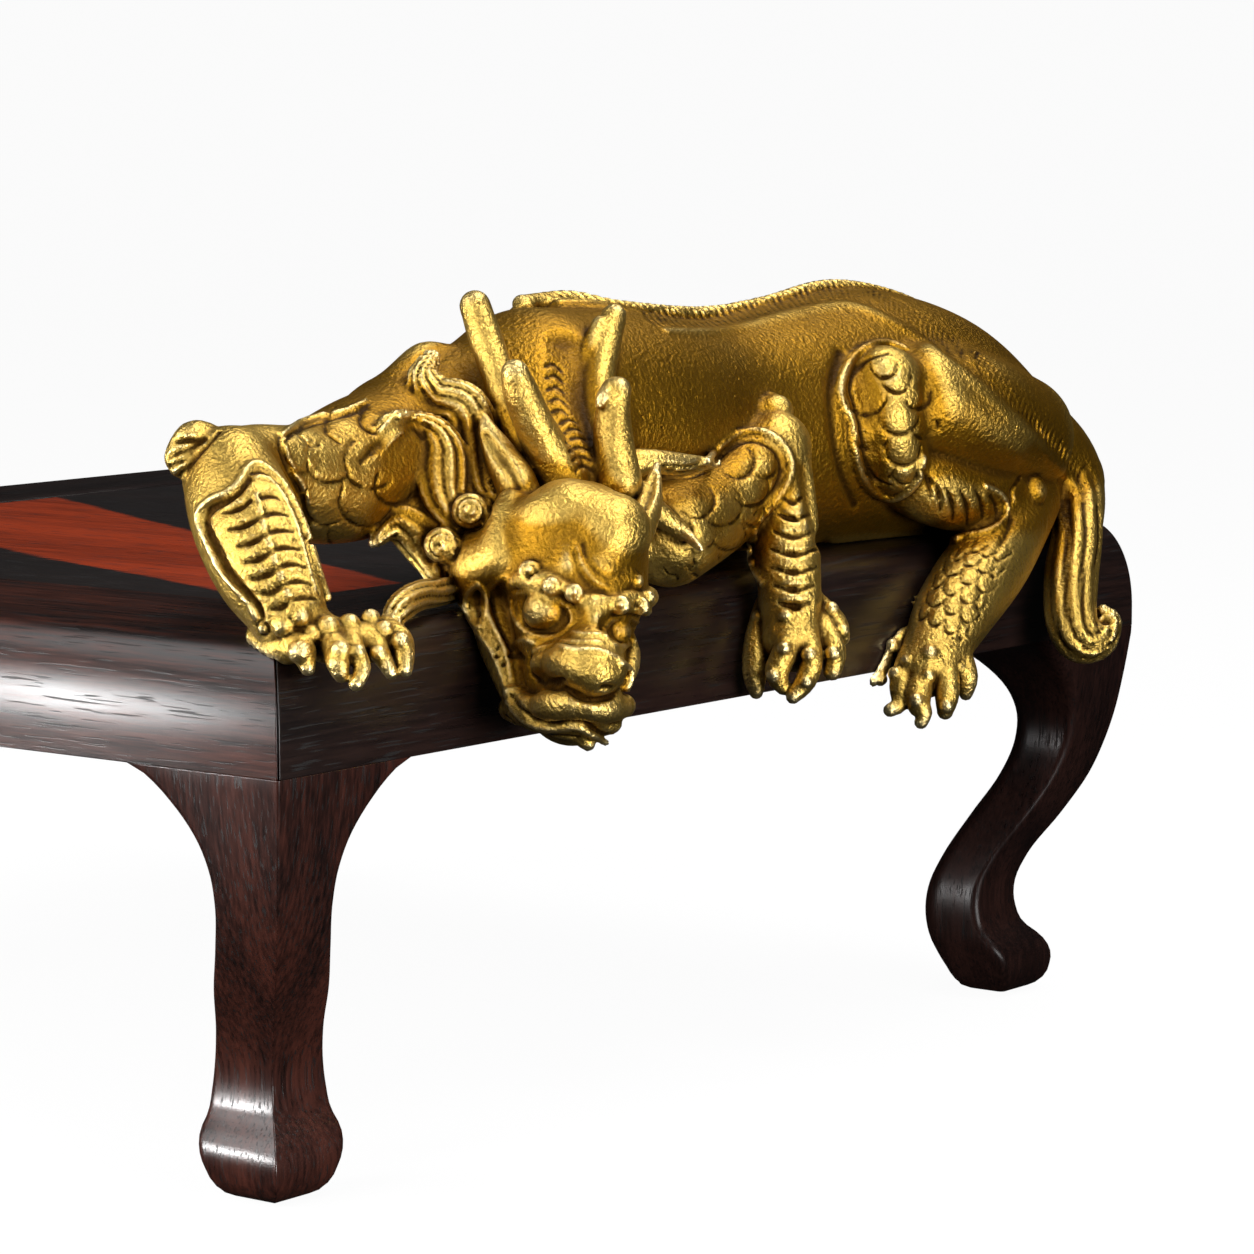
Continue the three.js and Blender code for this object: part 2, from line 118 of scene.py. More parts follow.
@dataclass(frozen=True)
class Grooves:
    """Fine grooves that follow the spine, as in combed hair.

    Args:
        count: Grooves around the form.
        depth: Depth in millimetres.
        twist: Turns of the grooves for each millimetre along the spine.
        softness: Power of the wave; 0.5 gives narrow sharp grooves, 1 even ones.
    """

    count: int
    depth: float
    twist: float = 0.0
    softness: float = 0.8

    def __call__(self, skin: SkinPoint) -> Array:
        """Returns heights over the skin."""
        wave = np.cos(self.count * (skin.turn + self.twist * skin.along))
        return self.depth * ((0.5 + 0.5 * wave) ** self.softness - 1.0)


@dataclass(frozen=True)
class Rings:
    """Grooves that run round the form and fade at its ends.

    Args:
        pitch: Distance from groove to groove.
        depth: Depth in millimetres.
        slant: Slope of the grooves across the form.
        fade: Share of the spine over which they fade.
    """

    pitch: float
    depth: float
    slant: float
    fade: float = 0.06

    def __call__(self, skin: SkinPoint) -> Array:
        """Returns heights over the skin."""
        wave = np.cos(2 * math.pi * (skin.along + self.slant * np.abs(skin.around)) / self.pitch)
        full = smooth_step(0.0, self.fade, skin.share)
        full = full * (1.0 - smooth_step(1.0 - self.fade, 1.0, skin.share))
        return self.depth * (np.sqrt(0.5 + 0.5 * wave) - 1.0) * full


@dataclass(frozen=True)
class Gnarl:
    """Shallow lumps and dents of a worn casting, from summed waves with fixed phases.

    Args:
        size: Typical size of a lump in millimetres.
        depth: Height of the lumps.
        waves: Waves that are summed, each turned, tilted, finer and later than the one before.
    """

    size: float
    depth: float
    waves: int = 6
    turn: float = 2.4
    tilt: float = 1.7
    finer: float = 0.23
    phase: float = 1.3

    def __call__(self, skin: SkinPoint) -> Array:
        """Returns heights over the skin."""
        total = np.zeros(skin.along.shape)
        for k in range(self.waves):
            turn, tilt = self.turn * k, self.tilt * k + 1.0
            bearing = np.array((math.cos(turn), math.sin(turn), math.cos(tilt)))
            rate = (1.0 + self.finer * k) / self.size
            total += np.sin(skin.spot @ bearing * rate * 2.0 + self.phase * k * k)
        return self.depth * total / (self.waves / 2)


# Clay

class Mode(Enum):
    """How a form meets the clay that is already there."""

    ADD = "add"
    CARVE = "carve"
    SWELL = "swell"


@dataclass(frozen=True)
class Form:
    """A form swept along a smooth spine.

    Args:
        name: Plain name of the form.
        stations: Centre and radius along the spine: x, y, z, r.
        blend: Width over which the form melts into the clay.
        flat: Radius across the view, as a share of the radius towards the viewer.
        relief: Heights over the form's skin.
        mode: Whether the form is added or carved, or only swells the skin near its spine.
        rise: Height of a swelling.
    """

    name: str
    stations: tuple[Station, ...]
    blend: float
    flat: float = 1.0
    relief: Relief | None = None
    mode: Mode = Mode.ADD
    rise: float = 0.0


def between(rows: Array, i: int, t: Array) -> Array:
    """Returns points of the smooth curve through rows, between row i and the next.

    Args:
        rows: Points that the curve runs through.
        i: Number of the row that the stretch starts at.
        t: Shares of the stretch, 0 to 1.

    Returns:
        One row for each share.
    """
    last = len(rows) - 1
    p0, p1 = rows[max(i - 1, 0)], rows[i]
    p2, p3 = rows[i + 1], rows[min(i + 2, last)]
    t = t[:, None]
    slope = (p2 - p0) * t + (2 * p0 - 5 * p1 + 4 * p2 - p3) * t**2 + (3 * p1 - p0 - 3 * p2 + p3) * t**3
    return p1 + 0.5 * slope


class Spine:
    """A smooth curve through a form's stations, with its frames.

    Args:
        form: The form to read.
        step: Wanted distance between samples in millimetres.
    """

    def __init__(self, form: Form, step: float) -> None:
        """Samples the curve."""
        stations = np.array(form.stations, float)
        if len(stations) == 1:
            stations = np.vstack((stations, stations + (0.01, 0.0, 0.0, 0.0)))
        spans = np.linalg.norm(np.diff(stations[:, :3], axis=0), axis=1)
        pieces = [max(1, int(math.ceil(span / step))) for span in spans]
        rows = [between(stations, i, np.arange(n) / n) for i, n in enumerate(pieces)]
        rows.append(stations[-1:])
        samples = np.vstack(rows)
        self.points = samples[:, :3]
        self.radii = np.maximum(samples[:, 3], THINNEST)
        lengths = np.linalg.norm(np.diff(self.points, axis=0), axis=1)
        self.along = np.concatenate(((0.0,), np.cumsum(lengths)))
        tangents = np.gradient(self.points, axis=0)
        tangents /= np.linalg.norm(tangents, axis=1, keepdims=True) + TINY
        facing = np.array(VIEW, float)
        normals = facing - tangents * (tangents @ facing)[:, None]
        self.normals = normals / (np.linalg.norm(normals, axis=1, keepdims=True) + TINY)
        self.sides = np.cross(tangents, self.normals)

    def at(self, place: Array, rows: Array) -> Array:
        """Returns rows read at fractional sample numbers.

        Args:
            place: Sample numbers, with their fractions.
            rows: One value or one point for each sample.

        Returns:
            One value or point for each place.
        """
        low = np.clip(place.astype(int), 0, len(rows) - 2)
        t = place - low
        if rows.ndim == 1:
            return rows[low] * (1 - t) + rows[low + 1] * t
        return rows[low] * (1 - t)[:, None] + rows[low + 1] * t[:, None]


class Clay:
    """Signed distances on a regular grid, in millimetres.

    Args:
        low: Lowest corner of the grid.
        high: Highest corner of the grid.
        cell: Distance between grid points.
    """

    def __init__(self, low: Array, high: Array, cell: float) -> None:
        """Starts with an empty grid."""
        self.low = np.array(low, float)
        self.cell = cell
        self.shape = tuple(int(n) for n in np.ceil((np.array(high) - self.low) / cell).astype(int) + 1)
        self.values = np.full(self.shape, FAR, np.float32)
        self.axes = [(self.low[i] + cell * np.arange(self.shape[i])).astype(np.float32) for i in range(3)]

    def window(self, low: Array, high: Array) -> Window:
        """Returns the slices that hold the box from low to high."""
        first = np.clip(np.floor((low - self.low) / self.cell).astype(int), 0, self.shape)
        last = np.clip(np.ceil((high - self.low) / self.cell).astype(int) + 1, 0, self.shape)
        return tuple(slice(a, b) for a, b in zip(first, last))

    def grid(self, window: Window) -> tuple[Array, Array, Array]:
        """Returns the window's coordinates, ready to broadcast."""
        x, y, z = (axis[part] for axis, part in zip(self.axes, window))
        return x[:, None, None], y[None, :, None], z[None, None, :]

    def model(self, form: Form) -> None:
        """Adds, carves or swells one form.

        Args:
            form: The form to model.
        """
        log.debug("modelling %s", form.name)
        spine = Spine(form, 1.0)
        reach = spine.radii * max(1.0, form.flat) + form.blend + BAND
        wide = np.maximum(reach, np.maximum(np.roll(reach, 1), np.roll(reach, -1)))[:, None]
        window = self.window((spine.points - wide).min(0), (spine.points + wide).max(0))
        if any(part.stop <= part.start for part in window):
            return
        distance, place = self._sweep(form, spine, window, reach)
        if form.mode is Mode.SWELL:
            half = spine.at(place.ravel().astype(float), spine.radii).reshape(place.shape)
            depth = np.clip(-distance / half, 0, 1)
            self.values[window] -= (form.rise * depth * depth * (3 - 2 * depth)).astype(np.float32)
            return
        if form.relief is not None:
            self._emboss(form, spine, window, distance, place)
        self._merge(window, distance, form)

    def _sweep(self, form: Form, spine: Spine, window: Window, reach: Array) -> tuple[Array, Array]:
        """Measures the distance to a form's plain skin.

        Args:
            form: The form.
            spine: Its spine.
            window: Part of the grid to measure in.
            reach: How far from each sample of the spine to measure.

        Returns:
            The distances, and the place on the spine that each belongs to.
        """
        shape = tuple(part.stop - part.start for part in window)
        distance = np.full(shape, FAR, np.float32)
        place = np.zeros(shape, np.float32)
        start = np.array([part.start for part in window])
        for i in range(len(spine.points) - 1):
            a, b = spine.points[i], spine.points[i + 1]
            wide = max(reach[i], reach[i + 1])
            part = self.window(np.minimum(a, b) - wide, np.maximum(a, b) + wide)
            if any(p.stop <= p.start for p in part):
                continue
            x, y, z = self.grid(part)
            step = (b - a).astype(np.float32)
            square = max(float(step @ step), 1e-6)
            x, y, z = x - np.float32(a[0]), y - np.float32(a[1]), z - np.float32(a[2])
            t = np.clip((x * step[0] + y * step[1] + z * step[2]) / square, 0, 1)
            x, y, z = x - t * step[0], y - t * step[1], z - t * step[2]
            gap = x * x + y * y + z * z
            if form.flat != 1.0:
                side = spine.sides[i]
                across = x * side[0] + y * side[1] + z * side[2]
                gap = gap + across * across * (1.0 / form.flat**2 - 1.0)
            gap = np.sqrt(gap) - (spine.radii[i] + t * (spine.radii[i + 1] - spine.radii[i]))
            local = tuple(slice(p.start - s, p.stop - s) for p, s in zip(part, start))
            nearer = gap < distance[local]
            distance[local][nearer] = gap[nearer]
            place[local][nearer] = (i + t)[nearer]
        return distance, place

    def _emboss(self, form: Form, spine: Spine, window: Window, distance: Array, place: Array) -> None:
        """Presses a form's relief into its distances.

        Args:
            form: The form.
            spine: Its spine.
            window: Part of the grid that was measured.
            distance: The distances, which are changed.
            place: The place on the spine that each belongs to.
        """
        near = np.nonzero(np.abs(distance) < BAND)
        spots = np.stack([axis[part][ids] for axis, part, ids in zip(self.axes, window, near)], 1)
        at = place[near].astype(float)
        offset = spots - spine.at(at, spine.points)
        ahead = (offset * spine.at(at, spine.normals)).sum(1)
        across = (offset * spine.at(at, spine.sides)).sum(1)
        skin = SkinPoint(
            along=spine.at(at, spine.along),
            turn=np.arctan2(across / form.flat, ahead),
            radius=spine.at(at, spine.radii),
            spot=spots,
            share=spine.at(at, spine.along) / spine.along[-1],
        )
        distance[near] -= form.relief(skin).astype(np.float32)

    def _merge(self, window: Window, distance: Array, form: Form) -> None:
        """Melts a form into the clay, or carves it out, with a rounded join.

        Args:
            window: Part of the grid that was measured.
            distance: Distances to the form's skin.
            form: The form.
        """
        there = self.values[window]
        sign = np.float32(1 if form.mode is Mode.ADD else -1)
        there, width = sign * there, np.float32(max(form.blend, 1e-3))
        overlap = np.maximum(width - np.abs(there - distance), 0) / width
        joined = np.minimum(there, distance) - overlap * overlap * width * 0.25
        self.values[window] = joined if form.mode is Mode.ADD else -joined

    def keep_clear(self, clearance: Callable[[Array, Array, Array], Array], under: float) -> None:
        """Cuts away all clay where clearance is negative.

        Args:
            clearance: Distance from what is kept clear of, for coordinates x, y and z.
            under: Height above which nothing is cut.
        """
        x, y, z = self.grid(tuple(slice(0, n) for n in self.shape))
        below = z.ravel() < under
        part = (slice(None), slice(None), np.nonzero(below)[0])
        self.values[part] = np.maximum(self.values[part], -clearance(x, y, z[:, :, below]).astype(np.float32))

    def blurred(self, reach: float) -> Array:
        """Averages the distances over a cube.

        Args:
            reach: Half of the cube's side in millimetres.

        Returns:
            The averages, on the same grid.
        """
        out = np.clip(self.values, -FAR, FAR)
        half = max(1, int(round(reach / self.cell)))
        for axis in range(3):
            padded = np.concatenate((np.repeat(np.take(out, [0], axis), half + 1, axis), out,
                                     np.repeat(np.take(out, [-1], axis), half, axis)), axis)
            total = np.cumsum(padded, axis, dtype=np.float32)
            n = out.shape[axis]
            upper = np.take(total, np.arange(2 * half + 1, 2 * half + 1 + n), axis)
            lower = np.take(total, np.arange(0, n), axis)
            out = (upper - lower) / np.float32(2 * half + 1)
        return out

    def read(self, values: Array, spots: Array) -> Array:
        """Reads a grid between its points.

        Args:
            values: Values on the clay's grid.
            spots: Positions, one row each.

        Returns:
            One value for each position.
        """
        at = np.clip((spots - self.low) / self.cell, 0, np.array(self.shape) - 1.001)
        base = at.astype(int)
        t = at - base
        total = np.zeros(len(spots))
        for corner in np.ndindex(2, 2, 2):
            weight = np.prod(np.where(corner, t, 1 - t), axis=1)
            total += weight * values[tuple((base + corner).T)]
        return total

    def skin(self) -> tuple[Array, Array]:
        """Returns the surface's points and its faces, four corners a face."""
        grid = openvdb.FloatGrid(FAR)
        grid.copyFromArray(self.values)
        points, triangles, quads = grid.convertToPolygons(0.0, 0.0)
        if len(triangles):
            quads = np.vstack((quads, np.column_stack((triangles, triangles[:, 2]))))
        return points * self.cell + self.low, quads

    def lean(self, spots: Array, step_cells: float = 1.6) -> Array:
        """Finds the directions that lead straight out of the skin.

        Args:
            spots: Positions on the skin, one row each.
            step_cells: Distance over which the slope is measured, in grid cells.

        Returns:
            One unit direction for each position.
        """
        rise = np.empty_like(spots)
        for axis in range(3):
            step = np.zeros(3)
            step[axis] = step_cells * self.cell
            rise[:, axis] = self.read(self.values, spots + step) - self.read(self.values, spots - step)
        return rise / (np.linalg.norm(rise, axis=1, keepdims=True) + TINY)


# Builder

@dataclass(frozen=True)
class MeshPiece:
    """Points in millimetres and faces, ready to become an object."""

    points: Array
    faces: Sequence[Sequence[int]] | Array


def fill(mesh: bpy.types.Mesh, points: Array, faces: Array) -> None:
    """Writes points and faces into an empty mesh.

    Args:
        mesh: The mesh.
        points: Positions in metres, one row each.
        faces: Point numbers, one row a face.
    """
    count, corners = faces.shape
    mesh.vertices.add(len(points))
    mesh.vertices.foreach_set("co", points.astype(np.float32).ravel())
    mesh.loops.add(count * corners)
    mesh.loops.foreach_set("vertex_index", faces.astype(np.int32).ravel())
    mesh.polygons.add(count)
    mesh.polygons.foreach_set("loop_start", np.arange(0, count * corners, corners, dtype=np.int32))
    mesh.update(calc_edges=True)


def positions(mesh: bpy.types.Mesh, channel: str = "co") -> Array:
    """Returns the mesh's points, or another vector stored for each point, one row each."""
    rows = np.empty(len(mesh.vertices) * 3, np.float32)
    mesh.vertices.foreach_get(channel, rows)
    return rows.reshape(-1, 3)


class Builder:
    """Turns pieces into objects in the CAD frame.

    Args:
        offset: The stand's origin in the CAD frame, in metres.
    """

    def __init__(self, offset: Vector) -> None:
        """Notes where the stand's origin lies."""
        self.offset = np.array(offset)

    def place(self, points: Array | Point) -> Array:
        """Returns points of the stand's frame in the CAD frame, in metres."""
        return np.asarray(points) * MM + self.offset

    def make(self, name: str, piece: MeshPiece, material: bpy.types.Material,
             smooth: bool = True) -> bpy.types.Object:
        """Builds one object.

        Args:
            name: The object's name.
            piece: Its points and faces.
            material: Its finish.
            smooth: Whether it is shaded smooth.

        Returns:
            The object.
        """
        mesh = bpy.data.meshes.new(name)
        points = self.place(piece.points)
        if isinstance(piece.faces, np.ndarray):
            fill(mesh, points, piece.faces)
        else:
            mesh.from_pydata(points.tolist(), [], piece.faces)
        mesh.polygons.foreach_set("use_smooth", np.full(len(mesh.polygons), smooth))
        mesh.validate()
        mesh.materials.append(material)
        item = bpy.data.objects.new(name, mesh)
        bpy.context.collection.objects.link(item)
        return item


def declare(item: bpy.types.Object, node: str) -> None:
    """Lets a piece stand for its CAD node.

    Args:
        item: The piece.
        node: The CAD node's name.
    """
    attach(item, "root")
    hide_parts(node)
    log.info("%s: %d faces", item.name, len(item.data.polygons))


# The viewer's eye

@dataclass(frozen=True)
class Camera:
    """The camera the figure is seen through, in the stand's frame.

    Args:
        spot: Position in millimetres.
        bearing: Turn from +Y to +X, in degrees.
        dip: Angle below the horizon, in degrees.
        lens: Focal length in millimetres.
    """

    spot: Point = (-622.776, -566.991, 171.919)
    bearing: float = 52.7036
    dip: float = 6.8798
    lens: float = 133.33

    @property
    def ahead(self) -> Point:
        """The direction the camera looks in."""
        a, e = math.radians(self.bearing), math.radians(self.dip)
        return math.sin(a) * math.cos(e), math.cos(a) * math.cos(e), -math.sin(e)

    def build(self, builder: Builder) -> None:
        """Makes the camera the scene's own.

        Args:
            builder: Places it in the CAD frame.
        """
        data = bpy.data.cameras.new("view")
        data.lens = self.lens
        data.sensor_width = SENSOR
        data.clip_start, data.clip_end = 0.01, 50.0
        item = bpy.data.objects.new("view", data)
        item.location = builder.place(self.spot)
        item.rotation_euler = Vector(self.ahead).to_track_quat("-Z", "Y").to_euler()
        bpy.context.collection.objects.link(item)
        bpy.context.scene.camera = item


def smooth_path(path: Sequence[Place], step: float = 5.0) -> Array:
    """Samples a smooth curve through places of the view.

    Args:
        path: The places, in view units.
        step: Wanted distance between samples.

    Returns:
        One row a sample.
    """
    rows = np.array(path, float)
    if len(rows) == 1:
        return rows
    bits = []
    for i in range(len(rows) - 1):
        count = max(1, int(np.linalg.norm(rows[i + 1] - rows[i]) / step))
        bits.append(between(rows, i, np.arange(count) / count))
    return np.vstack((*bits, rows[-1:]))


def even_path(path: Sequence[Place], count: int) -> Array:
    """Returns a given number of places spread evenly along a smooth path."""
    rows = smooth_path(path, 2.0)
    along = np.concatenate(((0.0,), np.cumsum(np.linalg.norm(np.diff(rows, axis=0), axis=1))))
    at = np.linspace(0.0, along[-1], count)
    return np.column_stack([np.interp(at, along, rows[:, k]) for k in range(2)])


@dataclass(frozen=True)
class Touch:
    """A stroke of the modelling tool on the clay, drawn as the viewer sees it.

    Args:
        name: Plain name of the stroke.
        path: Places in view units.
        widths: Full widths of the stroke in millimetres, spread evenly along it.
        rise: Height over the skin; below zero the stroke is carved.
        blend: Width over which the stroke melts into the clay.
    """

    name: str
    path: Path
    widths: Widths
    rise: float
    blend: float = 0.3


class Sight:
    """The viewer's lines of sight, in the stand's frame.

    Args:
        camera: The camera the figure is seen through.
    """

    nearest = 640.0
    farthest = 900.0
    most_steps = 400
    touching = 0.02

    def __init__(self, camera: Camera) -> None:
        """Works out the directions of the view."""
        a = math.radians(camera.bearing)
        self.spot = np.array(camera.spot)
        self.ahead = np.array(camera.ahead)
        self.right = np.array((math.cos(a), -math.sin(a), 0.0))
        self.up = np.cross(self.right, self.ahead)
        self.reach = camera.lens / SENSOR * VIEW_UNITS

    def lines(self, places: Array) -> Array:
        """Returns the direction of sight through each place, one unit deep."""
        x, y = (places - VIEW_UNITS / 2).T / self.reach
        return self.ahead + x[:, None] * self.right - y[:, None] * self.up

    def stations(self, drawn: Sequence[Station]) -> tuple[Station, ...]:
        """Places drawn stations in space, to a tenth of a millimetre.

        Args:
            drawn: Across and down in view units, depth in millimetres, and radius in view units.

        Returns:
            Centre and radius in millimetres.
        """
        rows = np.array(drawn, float)
        depth = rows[:, 2]
        spots = self.spot + self.lines(rows[:, :2]) * depth[:, None]
        radii = rows[:, 3] * depth / self.reach
        return tuple(map(tuple, np.round(np.column_stack((spots, radii)), 1)))

    def drop(self, clay: Clay, places: Array) -> Array:
        """Follows lines of sight until they meet the clay.

        Args:
            clay: The clay.
            places: Places of the view.

        Returns:
            The depth at which each line first meets the clay, or passes it closest.
        """
        lines = self.lines(places)
        depth = np.full(len(places), self.nearest)
        best, closest = depth.copy(), np.full(len(places), FAR * 2)
        moving = np.ones(len(places), bool)
        for _ in range(self.most_steps):
            spots = self.spot + lines[moving] * depth[moving, None]
            value = clay.read(clay.values, spots)
            better = value < closest[moving]
            ids = np.nonzero(moving)[0]
            closest[ids[better]] = value[better]
            best[ids[better]] = depth[ids[better]]
            depth[ids] += np.clip(value * 0.8, 0.05, 3.0)
            moving[ids] = (value > self.touching) & (depth[ids] < self.farthest)
            if not moving.any():
                break
        return best

    def form(self, clay: Clay, touch: Touch, shallow: float = 0.2) -> Form:
        """Works out the form that a touch makes on the clay.

        Args:
            clay: The clay.
            touch: The touch.
            shallow: Share of a stroke's width below which its rise only swells the skin.

        Returns:
            The form, a swelling or a bead that stands out of the skin or sinks into it.
        """
        places = smooth_path(touch.path)
        depth = self.drop(clay, places)
        if len(depth) > 4:
            padded = np.concatenate((depth[:1].repeat(2), depth, depth[-1:].repeat(2)))
            depth = np.median(np.stack([padded[k:k + len(depth)] for k in range(5)]), axis=0)
        spots = self.spot + self.lines(places) * depth[:, None]
        shares = np.linspace(0, 1, len(touch.widths))
        half = np.interp(np.linspace(0, 1, len(spots)), shares, touch.widths) / 2
        if abs(touch.rise) < shallow * max(touch.widths):
            stations = tuple(map(tuple, np.column_stack((spots, half))))
            return Form(touch.name, stations, 0.0, mode=Mode.SWELL, rise=touch.rise)
        rise = abs(touch.rise) * half / max(touch.widths) * 2
        rise = np.minimum(rise, half)
        radius = (half**2 + rise**2) / (2 * rise + 1e-6)
        lift = np.where(touch.rise > 0, rise - radius, radius - rise)
        spots = spots + clay.lean(spots) * lift[:, None]
        stations = tuple(map(tuple, np.column_stack((spots, radius))))
        mode = Mode.ADD if touch.rise > 0 else Mode.CARVE
        return Form(touch.name, stations, touch.blend, mode=mode)

    def work(self, clay: Clay, stage: Iterable[Form | Touch]) -> None:
        """Models one stage, its touches all placed on the clay as it was before."""
        for form in [self.form(clay, item) if isinstance(item, Touch) else item for item in stage]:
            clay.model(form)


CAMERA = Camera()
SIGHT = Sight(CAMERA)


def seen(name: str, *drawn: Station, blend: float = 0.5, flat: float = 1.0,
         relief: Relief | None = None) -> Form:
    """Returns a form drawn as the viewer sees it.

    Args:
        name: Plain name of the form.
        drawn: Stations along its spine, as Sight.stations takes them.
        blend: Width over which it melts into the clay.
        flat: Radius across the view, as a share of the radius towards the viewer.
        relief: Heights over its skin.

    Returns:
        The form in the stand's frame.
    """
    return Form(name, SIGHT.stations(drawn), blend, flat, relief)


# Patterns of strokes

def ring(name: str, x: float, y: float, reach: float, width: float, rise: float) -> Touch:
    """Returns a closed round stroke."""
    turns = np.linspace(0, 2 * math.pi, 9)
    path = tuple((x + reach * math.cos(t), y + reach * math.sin(t)) for t in turns)
    return Touch(name, path, (width,), rise, 0.1)


def bead(name: str, x: float, y: float, width: float, rise: float) -> Touch:
    """Returns a single round swelling, or a hollow where rise is below zero."""
    return Touch(name, ((x, y),), (width,), rise, 0.15)


def scale(name: str, x: float, y: float, reach: float, tilt: float, rise: float) -> list[Touch]:
    """Draws one round scale.

    Args:
        name: Plain name of its limb.
        x: Middle across the view.
        y: Middle down the view.
        reach: Radius in view units.
        tilt: Turn of the free edge from straight down, in degrees.
        rise: Height of the scale.

    Returns:
        A low swelling and the groove round the scale's free edge.
    """
    turns = np.radians(tilt + np.array((-5, 25, 60, 90, 120, 155, 185)))
    path = tuple((x + reach * math.cos(t), y + reach * math.sin(t)) for t in turns)
    swelling = Touch(f"{name} scale", ((x, y),), (reach * 0.34,), rise)
    return [swelling, Touch(f"{name} scale's edge", path, (0.6, 0.9, 0.6), -0.4, 0.1)]


def rungs(name: str, left: Path, right: Path, count: int, sag: float, widths: Widths,
          rise: float) -> list[Touch]:
    """Draws strokes from one side line to the other.

    Args:
        name: Plain name of the strokes.
        left: One side line.
        right: The other side line.
        count: How many strokes.
        sag: How far each is bowed, in view units.
        widths: Widths along each stroke.
        rise: Height over the skin.

    Returns:
        The strokes, from the start of the side lines to their end.
    """
    touches = []
    for a, b in zip(even_path(left, count), even_path(right, count)):
        along = b - a
        down = np.array((-along[1], along[0])) / (np.linalg.norm(along) + 1e-6)
        path = [a + along * t + down * sag * 4 * t * (1 - t) for t in (0.0, 0.25, 0.5, 0.75, 1.0)]
        touches.append(Touch(name, tuple(map(tuple, path)), widths, rise, 0.15))
    return touches


def combed(name: str, left: Path, right: Path, count: int, width: float, rise: float) -> list[Touch]:
    """Draws strokes side by side that run along between two side lines.

    Args:
        name: Plain name of the strokes.
        left: One side line.
        right: The other side line.
        count: How many strokes.
        width: Width of each stroke.
        rise: Height over the skin.

    Returns:
        The strokes, from the left side line to the right one.
    """
    samples = max(len(left), len(right)) * 2
    a, b = even_path(left, samples), even_path(right, samples)
    shares = (np.arange(count) + 0.5) / count
    return [Touch(name, tuple(map(tuple, a + (b - a) * share)), (width,), rise, 0.15) for share in shares]


def scaled(name: str, left: Path, right: Path, rows: int, columns: int, bow: float) -> list[Touch]:
    """Draws the free edges of round scales in staggered rows between two side lines.

    Args:
        name: Plain name of the strokes.
        left: One side line.
        right: The other side line.
        rows: Rows of scales along the side lines.
        columns: Scales in a row.
        bow: Bow of a scale's edge, as a share of the distance between rows.

    Returns:
        The strokes, row by row.
    """
    a, b = even_path(left, rows + 1), even_path(right, rows + 1)
    touches = []
    for row in range(rows):
        ahead = ((a[row + 1] + b[row + 1]) - (a[row] + b[row])) / 2
        shift = 0.5 * (row % 2)
        for column in range(columns + (row % 2)):
            low, high = (column - shift) / columns, (column + 1 - shift) / columns
            low, high = max(low, 0.0), min(high, 1.0)
            start, end = a[row] + (b[row] - a[row]) * low, a[row] + (b[row] - a[row]) * high
            path = []
            for t in np.linspace(0, 1, 7):
                swell = math.sqrt(max(1 - (2 * t - 1) ** 2, 0.0)) * bow
                path.append(start + (end - start) * t + ahead * swell)
            touches.append(Touch(name, tuple(map(tuple, path)), (0.6, 1.0, 0.6), -0.4, 0.12))
    return touches


# Finishes

class Wire:
    """A shader socket that takes arithmetic.

    Args:
        tree: The node tree the socket lives in.
        socket: The output socket.
    """

    def __init__(self, tree: bpy.types.NodeTree, socket: bpy.types.NodeSocket) -> None:
        """Holds one socket."""
        self.tree = tree
        self.socket = socket

    def _math(self, operation: str, first: "Wire | float", second: "Wire | float") -> "Wire":
        """Returns the outcome of one operation on two values."""
        node = self.tree.nodes.new("ShaderNodeMath")
        node.operation = operation
        for socket, value in zip(node.inputs, (first, second)):
            connect(self.tree, socket, value)
        return Wire(self.tree, node.outputs[0])

    def __add__(self, other: "Wire | float") -> "Wire":
        """Returns the sum."""
        return self._math("ADD", self, other)

    def __radd__(self, other: float) -> "Wire":
        """Returns the sum with a plain number first."""
        return self._math("ADD", other, self)

    def __sub__(self, other: "Wire | float") -> "Wire":
        """Returns the difference."""
        return self._math("SUBTRACT", self, other)

    def __rsub__(self, other: float) -> "Wire":
        """Returns the difference from a plain number."""
        return self._math("SUBTRACT", other, self)

    def __mul__(self, other: "Wire | float") -> "Wire":
        """Returns the product."""
        return self._math("MULTIPLY", self, other)


def connect(tree: bpy.types.NodeTree, socket: bpy.types.NodeSocket, value: object) -> None:
    """Links a wire to a socket, or sets the socket's value.

    Args:
        tree: The node tree.
        socket: The input socket.
        value: A wire, a number, a point or a colour.
    """
    if isinstance(value, Wire):
        tree.links.new(value.socket, socket)
    elif isinstance(value, tuple) and len(value) == 3 and len(getattr(socket, "default_value", ())) == 4:
        socket.default_value = (*value, 1.0)
    else:
        socket.default_value = value


